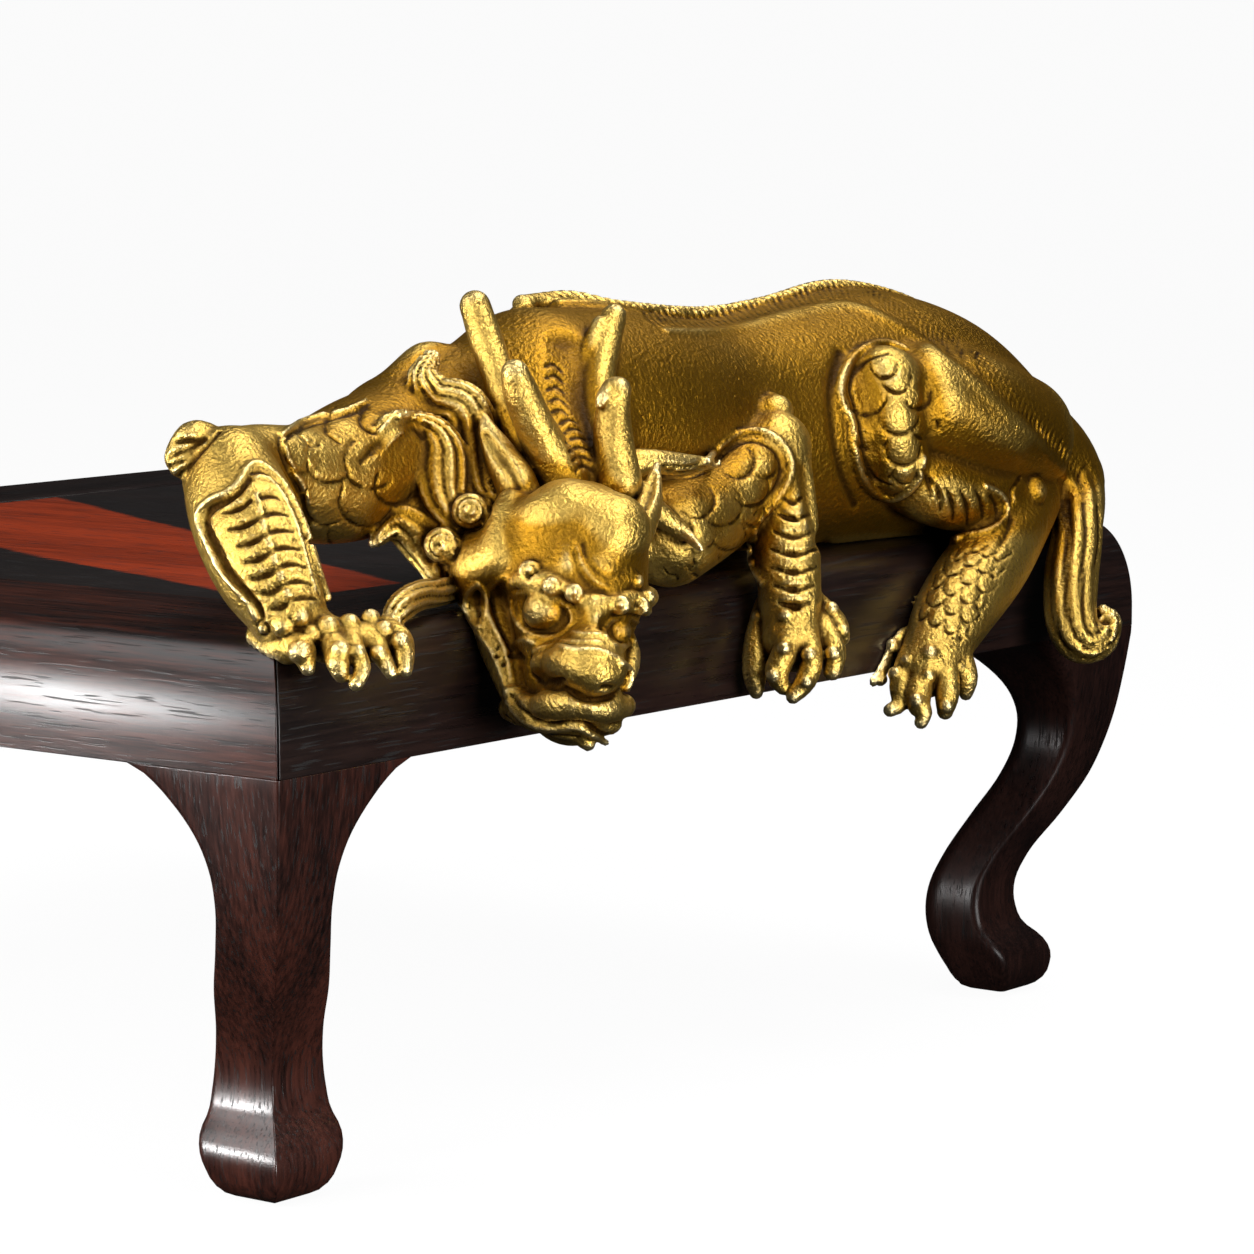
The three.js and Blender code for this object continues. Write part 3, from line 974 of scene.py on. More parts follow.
class ShaderBook:
    """Builds one material's nodes.

    Args:
        name: The material's name.
    """

    sockets = {
        "colour": "Base Color", "roughness": "Roughness", "metallic": "Metallic", "normal": "Normal",
        "specular": "Specular IOR Level", "glow": "Emission Color", "glow_strength": "Emission Strength",
    }

    def __init__(self, name: str) -> None:
        """Starts a new material with its surface."""
        self.material = bpy.data.materials.new(name)
        self.material.use_nodes = True
        self.tree = self.material.node_tree
        self.surface = self.tree.nodes["Principled BSDF"]

    def node(self, kind: str, settings: dict[str, object] | None = None,
             inputs: dict[str | int, object] | None = None, output: str | int = 0) -> Wire:
        """Adds a node.

        Args:
            kind: Blender's name for the kind of node.
            settings: Values of the node's own properties.
            inputs: Values or wires of its input sockets.
            output: The output socket that is wanted.

        Returns:
            The wire that leaves that output.
        """
        made = self.tree.nodes.new(kind)
        for key, value in (settings or {}).items():
            setattr(made, key, value)
        for key, value in (inputs or {}).items():
            connect(self.tree, made.inputs[key], value)
        return Wire(self.tree, made.outputs[output])

    def place(self) -> Wire:
        """Returns the position in the object's own space, in metres."""
        return self.node("ShaderNodeTexCoord", output="Object")

    def along_axis(self, axis: int) -> Wire:
        """Returns one coordinate of the position."""
        return self.node("ShaderNodeSeparateXYZ", {}, {0: self.place()}, axis)

    def stretched(self, rates: Point) -> Wire:
        """Returns the position with each axis scaled."""
        return self.node("ShaderNodeVectorMath", {"operation": "MULTIPLY"}, {0: self.place(), 1: rates})

    def noise(self, at: Wire, rate: float, detail: float, rough: float) -> Wire:
        """Returns a noise value with so many lumps to the metre."""
        inputs = {"Vector": at, "Scale": rate, "Detail": detail, "Roughness": rough}
        return self.node("ShaderNodeTexNoise", {}, inputs)

    def attribute(self, name: str) -> Wire:
        """Returns a value stored on the mesh."""
        return self.node("ShaderNodeAttribute", {"attribute_name": name}, output="Fac")

    def ramp(self, value: Wire, low: float, high: float) -> Wire:
        """Returns 0 at low, 1 at high and an even rise between."""
        inputs = {"Value": value, "From Min": low, "From Max": high}
        return self.node("ShaderNodeMapRange", {"interpolation_type": "SMOOTHSTEP"}, inputs)

    def mix(self, factor: Wire | float, first: Wire | Colour, second: Wire | Colour) -> Wire:
        """Returns a blend of two colours, the second where factor is 1."""
        return self.node("ShaderNodeMix", {"data_type": "RGBA"}, {0: factor, 6: first, 7: second}, 2)

    def bump(self, height: Wire, distance: float, strength: float, normal: Wire | None = None) -> Wire:
        """Disturbs a normal by a height.

        Args:
            height: The height, 0 to 1.
            distance: Metres that a height of 1 stands for.
            strength: Share of the disturbance.
            normal: The normal to disturb, if not the mesh's own.

        Returns:
            The new normal.
        """
        inputs: dict[str | int, object] = {"Height": height, "Distance": distance, "Strength": strength}
        if normal is not None:
            inputs["Normal"] = normal
        return self.node("ShaderNodeBump", {}, inputs)

    def finish(self, **values: object) -> bpy.types.Material:
        """Sets the surface's sockets, by the names in sockets, and returns the material."""
        for key, value in values.items():
            connect(self.tree, self.surface.inputs[self.sockets[key]], value)
        return self.material


@dataclass(frozen=True)
class BrassFinish:
    """Satin cast brass: pale where handling rubs it, with the pale on small ridges partly a painted
    highlight, olive brown in the hollows, and darker over broad hollows as painted shade mixed with patina.

    The rates of clouds, grit, stipple, lumps and pits are so many to the metre.

    Args:
        gold: Colour of the open surface.
        pale: Colour of worn high points, which on small ridges is also a painted highlight.
        dark: Colour of the hollows.
        deepest: Colour of the narrow grooves.
        shade_and_patina: Colour of broad hollows: painted shade mixed with brown patina.
        satin: Roughness of the open surface.
    """

    gold: Colour = (0.56, 0.365, 0.078)
    pale: Colour = (0.92, 0.74, 0.36)
    dark: Colour = (0.12, 0.055, 0.005)
    deepest: Colour = (0.022, 0.009, 0.001)
    shade_and_patina: Colour = (0.33, 0.165, 0.010)
    cloud_rate: float = 90.0
    grit_rate: float = 1500.0
    stipple_rate: float = 1300.0
    lump_rate: float = 420.0
    pit_rate: float = 420.0
    satin: float = 0.37

    def material(self) -> bpy.types.Material:
        """Builds the material from the casting's stored bulk, wear and groove."""
        book = ShaderBook("cast_brass")
        place = book.place()
        wear, groove = book.attribute("wear"), book.attribute("groove")
        cloud = book.noise(place, self.cloud_rate, 4.0, 0.6) - 0.5
        grit = book.noise(place, self.grit_rate, 3.0, 0.6) - 0.5
        # Low bulk marks broad hollows, which take the darker brown: painted shade mixed with patina.
        lit_and_handled = book.ramp(book.attribute("bulk") + cloud * 0.5, 0.05, 0.55)
        open_part = book.ramp(wear + cloud * 0.3, -0.38, 0.10)
        rubbed = book.ramp(wear + cloud * 0.4 + grit * 0.3, 0.2, 0.8)
        # Small ridges turn pale: rubbed wear, partly a painted highlight.
        ridges = book.ramp(groove + grit * 0.04, 0.035, 0.13)
        worn = (rubbed * 0.6 + ridges * 0.4) * (0.4 + lit_and_handled * 0.6)
        pits = self._pits(book, place, cloud)
        # The dark of small hollows is patina; the darker brown over broad hollows is painted shade mixed with
        # patina.
        colour = book.mix(open_part, self.dark, book.mix(lit_and_handled, self.shade_and_patina, self.gold))
        colour = book.mix(worn, colour, self.pale)
        colour = book.mix(book.ramp(grit + cloud * 0.6, 0.02, 0.24) * 0.45, colour, self.dark)
        colour = book.mix(book.ramp(groove, 0.0, -0.10) * 0.9, colour, self.deepest)
        colour = book.mix(pits * 0.7, colour, self.deepest)
        roughness = self.satin - worn * 0.06 + (1.0 - open_part) * 0.16 + grit * 0.12
        metallic = 0.84 + open_part * 0.14
        normal = self._skin(book, place, pits)
        return book.finish(
            colour=colour, roughness=roughness, metallic=metallic, normal=normal, specular=0.08)

    def _pits(self, book: ShaderBook, place: Wire, cloud: Wire) -> Wire:
        """Returns 1 inside a casting pit; pits come in patches."""
        cells = book.node("ShaderNodeTexVoronoi", {}, {"Vector": place, "Scale": self.pit_rate})
        return book.ramp(cells, 0.16, 0.05) * book.ramp(cloud, 0.0, 0.12)

    def _skin(self, book: ShaderBook, place: Wire, pits: Wire) -> Wire:
        """Returns the normal of the stippled, lumpy and pitted cast skin."""
        normal = book.bump(book.noise(place, self.stipple_rate, 3.0, 0.6), 0.0004, 0.8)
        normal = book.bump(book.noise(place, self.lump_rate, 3.0, 0.6), 0.0005, 0.3, normal)
        return book.bump(1.0 - pits, 0.0003, 0.6, normal)


@dataclass(frozen=True)
class RosewoodFinish:
    """Polished dark rosewood with grain along one direction.

    Args:
        name: The material's name.
        axis: Index of the axis the grain follows.
        streak: How much of the wood is reddish, 0 to 1.
        base: Darkest wood.
        warm: Reddish-brown streaks.
        pore: Colour of the open pores.
        polish: Strength of the mirror-like part.
    """

    name: str
    axis: int
    streak: float = 0.6
    base: Colour = (0.0045, 0.0024, 0.0022)
    warm: Colour = (0.048, 0.014, 0.009)
    pore: Colour = (0.0015, 0.001, 0.001)
    polish: float = 0.45

    def _rates(self, along: float, across: float) -> Point:
        """Returns one rate along the grain and another across it."""
        return tuple(along if k == self.axis else across for k in range(3))

    def tone(self, book: ShaderBook, mixed: Wire) -> Wire:
        """Returns the wood's colour before its pores, for a mixture of figure and fibre."""
        share = book.ramp(mixed, 0.58 - 0.36 * self.streak, 0.92 - 0.3 * self.streak)
        return book.mix(share, self.base, self.warm)

    def material(self) -> bpy.types.Material:
        """Builds the material."""
        book = ShaderBook(self.name)
        figure = book.noise(book.stretched(self._rates(5.0, 110.0)), 1.0, 4.0, 0.6)
        fibre = book.noise(book.stretched(self._rates(65.0, 1430.0)), 1.0, 3.0, 0.65)
        dashes = book.noise(book.stretched(self._rates(110.0, 2600.0)), 1.0, 1.0, 0.5)
        pore = book.ramp(dashes, 0.60, 0.68)
        colour = book.mix(pore * 0.75, self.tone(book, figure * 0.5 + fibre * 0.5), self.pore)
        cloud = book.noise(book.place(), 28.0, 3.0, 0.55)
        roughness = 0.23 + fibre * 0.14 + pore * 0.2 + (cloud - 0.5) * 0.1
        normal = book.bump(1.0 - pore * 0.6 + fibre * 0.3, 0.00006, 0.3)
        return book.finish(colour=colour, roughness=roughness, normal=normal, specular=self.polish)


@dataclass(frozen=True)
class PanelFinish(RosewoodFinish):
    """Dull dark board with one slanting streak of red heartwood.

    Args:
        shift: Distance of the stand's origin from the object's along Y, in metres.
        heart: Colour of the streak.
        left: The streak's left edge: where it crosses the middle line, and its slant.
        right: The streak's right edge in the same way.
        edge: Width over which the streak begins, in metres.
    """

    name: str = "panel_wood"
    axis: int = 1
    base: Colour = (0.0085, 0.0068, 0.0066)
    warm: Colour = (0.014, 0.0085, 0.0075)
    shift: float = 0.0
    heart: Colour = (0.30, 0.034, 0.007)
    left: tuple[float, float] = (-0.0527, 0.345)
    right: tuple[float, float] = (-0.007, 0.50)
    edge: float = 0.0015

    def tone(self, book: ShaderBook, mixed: Wire) -> Wire:
        """Returns the board's colour with its streak."""
        plain = RosewoodFinish.tone(self, book, mixed)
        across = book.along_axis(0) + (mixed - 0.5) * 0.010
        along = book.along_axis(1) - self.shift
        from_left = across - (along * self.left[1] + self.left[0])
        from_right = (along * self.right[1] + self.right[0]) - across
        inside = book.ramp(from_left, 0.0, self.edge) * book.ramp(from_right, 0.0, self.edge)
        faded = tuple(v * 0.45 for v in self.heart)
        return book.mix(inside, plain, book.mix(book.ramp(mixed, 0.32, 0.62), faded, self.heart))


# The stand

@dataclass(frozen=True)
class StandSizes:
    """Sizes of the display stand in millimetres.

    The nose is the rounded outer edge, a superellipse from face_top to nose_top. The apron hangs under
    the rails, apron_drop below their top, and eased is the width of a broken edge.
    """

    length: float = 240.0
    depth: float = 222.0
    height: float = 89.0
    centre_y: float = -9.0
    rail_width: float = 35.0
    rail_thickness: float = 10.0
    apron_drop: float = 20.7
    apron_depth: float = 13.0
    face_top: float = 71.5
    nose_width: float = 7.0
    nose_top: float = 88.4
    nose_power: float = 2.15
    panel_thickness: float = 9.6
    gap: float = 0.3
    eased: float = 0.4

    @property
    def half(self) -> tuple[float, float]:
        """Half the stand's length and half its depth."""
        return self.length / 2, self.depth / 2

    def nose(self, shares: Array) -> Array:
        """Returns inward distance and height along the rounded edge, for shares of the turn."""
        turns = shares * math.pi / 2
        power = 2 / self.nose_power
        inward = self.nose_width * (1 - np.clip(np.cos(turns), 0, 1) ** power)
        rise = self.face_top + (self.nose_top - self.face_top) * np.sin(turns) ** power
        return np.column_stack((inward, rise))

    def top_at(self, inward: Array) -> Array:
        """Returns the height of the rail's top, inside the rounded edge."""
        slope = (inward - self.nose_width) / (self.rail_width - self.nose_width)
        return self.nose_top + (self.height - self.nose_top) * np.clip(slope, 0, 1)

    def clearance(self, x: Array, y: Array, z: Array) -> Array:
        """Measures how far places are outside the wood, less the gap left under the casting.

        Args:
            x: Coordinates along the length.
            y: Coordinates along the depth.
            z: Heights.

        Returns:
            Distances, below zero inside the wood or the gap.
        """
        half_x, half_y = self.half
        inward = np.minimum(half_x - np.abs(x), half_y - np.abs(y - self.centre_y))
        rise = self.nose_top - self.face_top
        across = np.maximum(self.nose_width - inward, 0) / self.nose_width
        up = np.maximum(z - self.face_top, 0) / rise
        level = np.maximum((across**self.nose_power + up**self.nose_power) ** (1 / self.nose_power), 1e-6)
        steep = np.hypot((across / level) ** (self.nose_power - 1) / self.nose_width,
                         (up / level) ** (self.nose_power - 1) / rise)
        nose = (level - 1) / np.maximum(steep, 1e-3)
        beyond = np.where(z > self.face_top, nose, -inward)
        return np.where(inward < self.nose_width, beyond, z - self.top_at(inward)) - self.gap


def tube_faces(rings: int, sides: int, inside_out: bool = False) -> list[list[int]]:
    """Joins rings of points, with a flat face at either end.

    Args:
        rings: Number of rings.
        sides: Points in a ring.
        inside_out: Whether the faces look the other way.

    Returns:
        Point numbers of each face.
    """
    faces = []
    for i in range(rings - 1):
        for k in range(sides):
            n = (k + 1) % sides
            faces.append([i * sides + k, i * sides + n, (i + 1) * sides + n, (i + 1) * sides + k])
    faces.append(list(range(sides))[::-1])
    faces.append([(rings - 1) * sides + k for k in range(sides)])
    return [face[::-1] for face in faces] if inside_out else faces


@dataclass(frozen=True)
class Rail:
    """One bull-nosed rail with its apron, mitred at both ends.

    Args:
        sizes: The stand's sizes.
        quarter_turns: Turns of 90 degrees from the front rail.
        mitre_gap: Distance of a mitred end from the mitre's line.
        end_ease: Share by which the very ends are drawn in.
    """

    sizes: StandSizes
    quarter_turns: int
    mitre_gap: float = 0.22
    end_ease: float = 0.18 / 30.0
    arris: float = 0.06

    def profile(self) -> Array:
        """Returns the outline across the rail: inward distance and height."""
        s = self.sizes
        base, under = s.height - s.apron_drop, s.height - s.rail_thickness
        nose = s.nose(np.linspace(0, 1, 26))
        face = np.column_stack((np.zeros(4), (base + self.arris, base + 0.14, base + 1.2, s.face_top - 0.5)))
        inward = np.linspace(s.nose_width + 4, s.rail_width - s.eased, 5)
        top = np.column_stack((inward, s.top_at(inward)))
        inner = ((s.rail_width, s.height - s.eased), (s.rail_width, under), (s.apron_depth, under))
        apron = ((s.apron_depth, base + s.eased), (s.apron_depth - s.eased, base), (self.arris, base))
        return np.vstack((face, nose, top, inner, apron))

    def piece(self) -> MeshPiece:
        """Returns the rail's mesh."""
        profile = self.profile()
        ends = np.array((-1.0, -0.998, -0.5, 0.0, 0.5, 0.998, 1.0))
        half, outward = self.sizes.half if self.quarter_turns % 2 == 0 else self.sizes.half[::-1]
        rings = []
        for end in ends:
            reach = (half - profile[:, 0] - self.mitre_gap) * end
            ease = self.end_ease if abs(end) == 1.0 else 0.0
            inner = profile + (profile.mean(0) - profile) * ease
            rings.append(np.column_stack((reach, inner[:, 0] - outward, inner[:, 1])))
        angle = self.quarter_turns * math.pi / 2
        c, s = math.cos(angle), math.sin(angle)
        turn = np.array(((c, -s, 0), (s, c, 0), (0, 0, 1)))
        faces = tube_faces(len(ends), len(profile), inside_out=True)
        return MeshPiece(np.vstack(rings) @ turn.T + (0, self.sizes.centre_y, 0), faces)


@dataclass(frozen=True)
class Leg:
    """One curved leg with a scrolled foot.

    Args:
        sizes: The stand's sizes.
        sign_x: Side of the stand along X, -1 or 1.
        sign_y: Side of the stand along Y, -1 or 1.
        sections: Height, and distance of the outer arris and of the inner side from the stand's corner.
        sole: Height up to which the foot is eased.
        top: Height of the leg.
    """

    sizes: StandSizes
    sign_x: int
    sign_y: int
    sections: tuple[Point, ...] = (
        (0, 15.5, 20), (0.5, 13.6, 22.6), (1.6, 12.0, 24.2), (4.4, 10.7, 26), (7.6, 10.7, 27.5),
        (10, 11.9, 28.3), (12.5, 14.2, 28.6), (16, 15.4, 28.7), (20.4, 15.5, 28.1), (25.6, 13.8, 26.3),
        (33.3, 9.3, 22.6), (40.4, 5.7, 18.9), (47.4, 3.4, 16.8), (53, 2.1, 16.9), (58.5, 1.2, 19.4),
        (62.8, 0.6, 23.4), (66, 0.2, 27.6), (67.4, 0.03, 30.2), (68.26, 0.0, 33),
    )
    sole: float = 2.0
    top: float = 68.26

    def piece(self) -> MeshPiece:
        """Returns the leg's mesh."""
        table = np.array(self.sections)
        foot, shaft = np.linspace(0, self.sole, 5)[:-1], np.linspace(self.sole, self.top - 0.1, 54)
        heights = np.concatenate((foot, shaft, [self.top]))
        outer, inner = (self._smooth(table[:, 0], table[:, k], heights) for k in (1, 2))
        outline = self._section()
        rings = []
        for z, o, i in zip(heights, outer, inner):
            flat = outline * (i - o) + o
            corner = (np.array(self.sizes.half) - flat) * (self.sign_x, self.sign_y)
            level = np.full(len(flat), z)
            rings.append(np.column_stack((corner[:, 0], corner[:, 1] + self.sizes.centre_y, level)))
        faces = tube_faces(len(heights), len(outline), inside_out=self.sign_x * self.sign_y < 0)
        return MeshPiece(np.vstack(rings), faces)

    @staticmethod
    def _smooth(xs: Array, ys: Array, at: Array) -> Array:
        """Reads a smooth curve.

        Args:
            xs: Where the curve is given.
            ys: Its values there.
            at: Where it is read.

        Returns:
            Its values.
        """
        slopes = np.gradient(ys, xs)
        i = np.clip(np.searchsorted(xs, at, side="right") - 1, 0, len(xs) - 2)
        width = xs[i + 1] - xs[i]
        t = (at - xs[i]) / width
        h00, h10 = 2 * t**3 - 3 * t**2 + 1, t**3 - 2 * t**2 + t
        h01, h11 = -2 * t**3 + 3 * t**2, t**3 - t**2
        return h00 * ys[i] + h10 * width * slopes[i] + h01 * ys[i + 1] + h11 * width * slopes[i + 1]

    @staticmethod
    def _section() -> Array:
        """Returns the unit section, its sharp outer arris at (0, 0) and the other corners eased."""
        points = []
        corners = ((0.0, 0.0, 0.015), (1.0, 0.0, 0.12), (1.0, 1.0, 0.3), (0.0, 1.0, 0.12))
        for k, (x, y, ease) in enumerate(corners):
            to_middle = np.array((0.5 - x, 0.5 - y)) * 2
            centre = np.array((x, y)) + to_middle * ease
            start = math.atan2(-to_middle[1], -to_middle[0])
            for turn in np.linspace(-math.pi / 4, math.pi / 4, 7):
                points.append(centre + ease * np.array((math.cos(start + turn), math.sin(start + turn))))
            following = np.array(corners[(k + 1) % 4][:2])
            for t in (0.35, 0.65):
                points.append(np.array((x, y)) * (1 - t) + following * t)
        return np.array(points)


@dataclass(frozen=True)
class Panel:
    """The flat board inside the rails.

    Args:
        sizes: The stand's sizes.
        sunk: How far its surface lies below the rails.
    """

    sizes: StandSizes
    sunk: float = 0.2

    def piece(self) -> MeshPiece:
        """Returns the panel's mesh."""
        s = self.sizes
        half = np.array(s.half) - s.rail_width - s.gap
        top = s.height - self.sunk
        levels = ((top - s.panel_thickness, 0.0), (top - 0.5, 0.0), (top - 0.12, 0.12), (top, 0.5))
        corners = np.array(((-1, -1), (1, -1), (1, 1), (-1, 1)), float)
        rings = []
        for z, eased in levels:
            rings.append(np.column_stack((corners * (half - eased) + (0, s.centre_y), np.full(4, z))))
        return MeshPiece(np.vstack(rings), tube_faces(len(levels), len(corners)))


@dataclass(frozen=True)
class Stand:
    """The display stand: four rails, four legs and the panel.

    Args:
        sizes: Its sizes.
    """

    sizes: StandSizes

    def build(self, builder: Builder) -> None:
        """Builds every piece of the stand.

        Args:
            builder: Makes the objects.
        """
        self._build_rails(builder)
        self._build_legs(builder)
        wood = PanelFinish(shift=float(builder.offset[1])).material()
        item = builder.make("look_top_panel", Panel(self.sizes).piece(), wood, False)
        declare(item, "top_panel")

    def _build_rails(self, builder: Builder) -> None:
        """Builds the rails, the grain along each; the front and back rails take a darker copy of the wood as
        painted shade.
        """
        # The front and back rails' darker warm colour is painted shade; the side rails keep the redder wood.
        woods = (RosewoodFinish("rosewood_x_shaded", 0, warm=(0.018, 0.008, 0.006)).material(),
                 RosewoodFinish("rosewood_y", 1, warm=(0.070, 0.018, 0.010), polish=0.30).material())
        for turns, node in enumerate(("rail_front", "rail_right", "rail_back", "rail_left")):
            item = builder.make(f"look_{node}", Rail(self.sizes, turns).piece(), woods[turns % 2])
            declare(item, node)

    def _build_legs(self, builder: Builder) -> None:
        """Builds the legs: the front left one in redder, glossier wood, the others in a darker, duller copy
        that paints the shade they stand in.
        """
        near_wood = RosewoodFinish("rosewood_z", 2, streak=0.75, warm=(0.060, 0.017, 0.011), polish=0.55)
        # The other legs' darker, duller wood is painted shade.
        shaded_leg_wood = RosewoodFinish("rosewood_painted_shade", 2, streak=0.75, warm=(0.022, 0.009, 0.007), polish=0.15)
        near, far = near_wood.material(), shaded_leg_wood.material()
        for sign_x, sign_y, node, wood in ((-1, -1, "leg_front_left", near), (1, -1, "leg_front_right", far),
                                           (1, 1, "leg_back_right", far), (-1, 1, "leg_back_left", far)):
            item = builder.make(f"look_{node}", Leg(self.sizes, sign_x, sign_y).piece(), wood)
            declare(item, node)


# Forms of the figure

def body_forms() -> Iterable[Form]:
    """Trunk, neck, tail and the ridge of hair along the back."""
    yield seen(
        "trunk", (540, 408, 757, 98), (600, 428, 774, 120), (690, 436, 796, 116), (770, 430, 815, 126),
        (840, 422, 833, 134), (905, 430, 845, 126), (965, 454, 852, 102), (1020, 470, 855, 74),
        (1055, 480, 857, 48), blend=3.0)
    yield seen("nape", (520, 400, 757, 82), (545, 440, 748, 78), (560, 490, 738, 70), blend=4.0)
    yield seen(
        "tail", (1040.1, 462, 857, 46), (1074, 490, 852, 30), (1078, 530, 842, 26), (1071, 575, 835, 28),
        (1070, 615, 831, 27), (1080, 640, 830, 24), (1099, 640, 831, 19), (1110, 622, 833, 13),
        (1103, 611, 833, 8), blend=2.5, relief=Grooves(9, 0.5, 0.02))
    yield seen(
        "ridge", (528, 304, 764, 10), (570, 302, 772, 12), (620, 310, 778, 11), (700, 317, 797, 11),
        (762, 307, 812, 11), (830, 290, 830, 11), (900, 303, 845, 11), (960, 338, 855, 11),
        (1010, 378, 860, 11), (1050, 424, 862, 11), (1078, 466, 861, 9),
        blend=0.8, relief=Rings(2.2, 0.5, 0.8))
    yield seen(
        "neck_crest", (522, 304, 763, 10), (536, 330, 758, 9), (552, 368, 750, 11), (562, 402, 744, 11),
        (577, 440, 738, 12), (588, 478, 733, 10), blend=0.4)


def hind_leg_forms() -> Iterable[Form]:
    """Hind legs, the near one hanging over the edge and the far one folded on the top."""
    yield seen("haunch", (1012, 436, 838, 62), (962, 420, 825, 70), (920, 408, 815, 58), blend=3.0)
    yield seen("knee", (883, 386, 807, 41), (886, 425, 806, 38), (892, 458, 808, 36), blend=1.4)
    yield seen(
        "shank", (895, 468, 811, 34), (930, 486, 815, 38), (972, 496, 823, 37), (1012, 498, 833, 32),
        (1038, 494, 843, 21), blend=1.0)
    yield seen(
        "hock",
        (1030, 503, 838, 30), (990, 560, 822, 42), (955, 610, 810, 40), (935, 650, 804, 32), blend=1.6)
    yield seen("hind_paw", (940, 645, 805, 30), (925, 668, 802, 30), blend=1.5)
    yield Form("far_haunch", ((76, -82, 112, 15), (62, -76, 107, 15), (50, -73, 101, 12)), 3.0)
    yield Form("far_shank", ((50, -72, 100, 10), (66, -67, 97, 9), (84, -66, 95, 6)), 2.0)
    yield Form("far_hock", ((84, -66, 95, 6), (70, -62, 94, 6), (56, -60, 94, 5)), 1.5)


def fore_leg_forms() -> Iterable[Form]:
    """Fore legs with the scroll knob at each elbow."""
    yield seen(
        "left_arm",
        (668, 535, 757, 52), (715, 508, 768, 46), (752, 470, 776, 42), (775, 446, 779, 36), blend=1.5)
    yield seen(
        "left_forearm",
        (777, 450, 779, 32), (783, 510, 775, 34), (787, 560, 771, 34), (791, 600, 768, 30), blend=1.2)
    yield seen("left_knob", (765, 418, 781, 22), (776, 412, 781, 17), blend=0.6)
    yield seen("left_nub", (771, 402, 782, 8), (772, 399, 782, 7), blend=0.4)
    yield seen("left_paw", (790, 608, 769, 30), (792, 640, 767, 32), blend=1.5)
    yield seen("right_shoulder", (520, 420, 752, 80), (450, 415, 748, 66), (400, 434.9, 740, 60), blend=4.0)
    yield seen(
        "right_arm", (450, 430, 748, 62), (375, 462, 732, 72), (310, 482, 716, 60.1), (255, 466, 702, 42),
        (228, 466, 697, 37), blend=3.0)
    yield seen(
        "right_forearm",
        (230, 475, 696, 48), (245.9, 520, 691, 55), (266, 568, 686, 53), (286, 608, 683, 40), blend=1.5)
    yield seen(
        "right_knob",
        (205, 440, 697, 18), (193, 439.9, 695, 19), (181, 458, 694, 17), (184, 466, 693, 14), blend=0.4)
    yield seen("right_paw", (283, 622, 683, 28), (340, 642, 682, 24), (385, 640, 684, 20), blend=1.5)


def toe_forms() -> Iterable[Form]:
    """Toes and claws, five to a paw."""
    toes = {
        "hind_1": ((903, 638, 806, 11), (884, 652, 804, 12), (876, 672, 802, 11), (869, 681, 800, 7.5)),
        "hind_2": ((912, 655, 802, 13), (902, 682, 799, 13), (900, 703, 797, 9), (890, 710, 796.1, 7)),
        "hind_3": ((925, 668, 800, 13), (918, 700, 796, 13), (924, 713, 795, 8), (921, 722, 795, 7)),
        "hind_4": ((945, 662, 801, 13), (947, 692, 798, 13), (945, 712, 797, 8)),
        "hind_5": ((958, 652, 804, 13), (966, 676, 802, 12), (966, 694, 802, 7)),
        "left_1": ((765, 605, 771, 11), (758, 640, 768, 14), (755, 672, 766, 13), (756, 692, 766, 7.5)),
        "left_2": ((786, 610, 767, 11), (787, 645, 763, 13), (777, 672, 762, 12), (783, 688, 762, 7.5)),
        "left_3": ((803, 622, 766, 11), (812, 655, 763, 11), (806, 680, 762, 11), (793, 697, 761, 7.5)),
        "left_4": ((820, 620, 768, 11), (834, 650, 765, 12), (832, 672, 764, 9)),
        "left_5": ((812, 602, 770, 13), (835, 622, 769, 12), (842, 638, 768, 8)),
        "right_1": ((258, 636, 685, 12), (280, 648, 682, 17), (300, 648, 678, 15), (308, 669, 676, 7.5)),
        "right_2": ((322, 628, 682, 11), (336, 650, 678, 14), (338, 664, 675, 12), (341, 676, 675, 7.5)),
        "right_3": ((350, 632, 682, 11), (354, 650, 678, 11), (362, 668, 676, 9), (356, 684, 675, 7.5)),
        "right_4": ((370, 624, 684, 11), (378, 648, 681, 11), (386, 664, 679, 8), (391, 673, 679, 7)),
        "right_5": ((385, 625, 686, 11), (401, 640, 683, 12), (404, 660, 681, 10), (405, 671, 680, 7.5)),
    }
    for name, stations in toes.items():
        yield seen(name, *stations)


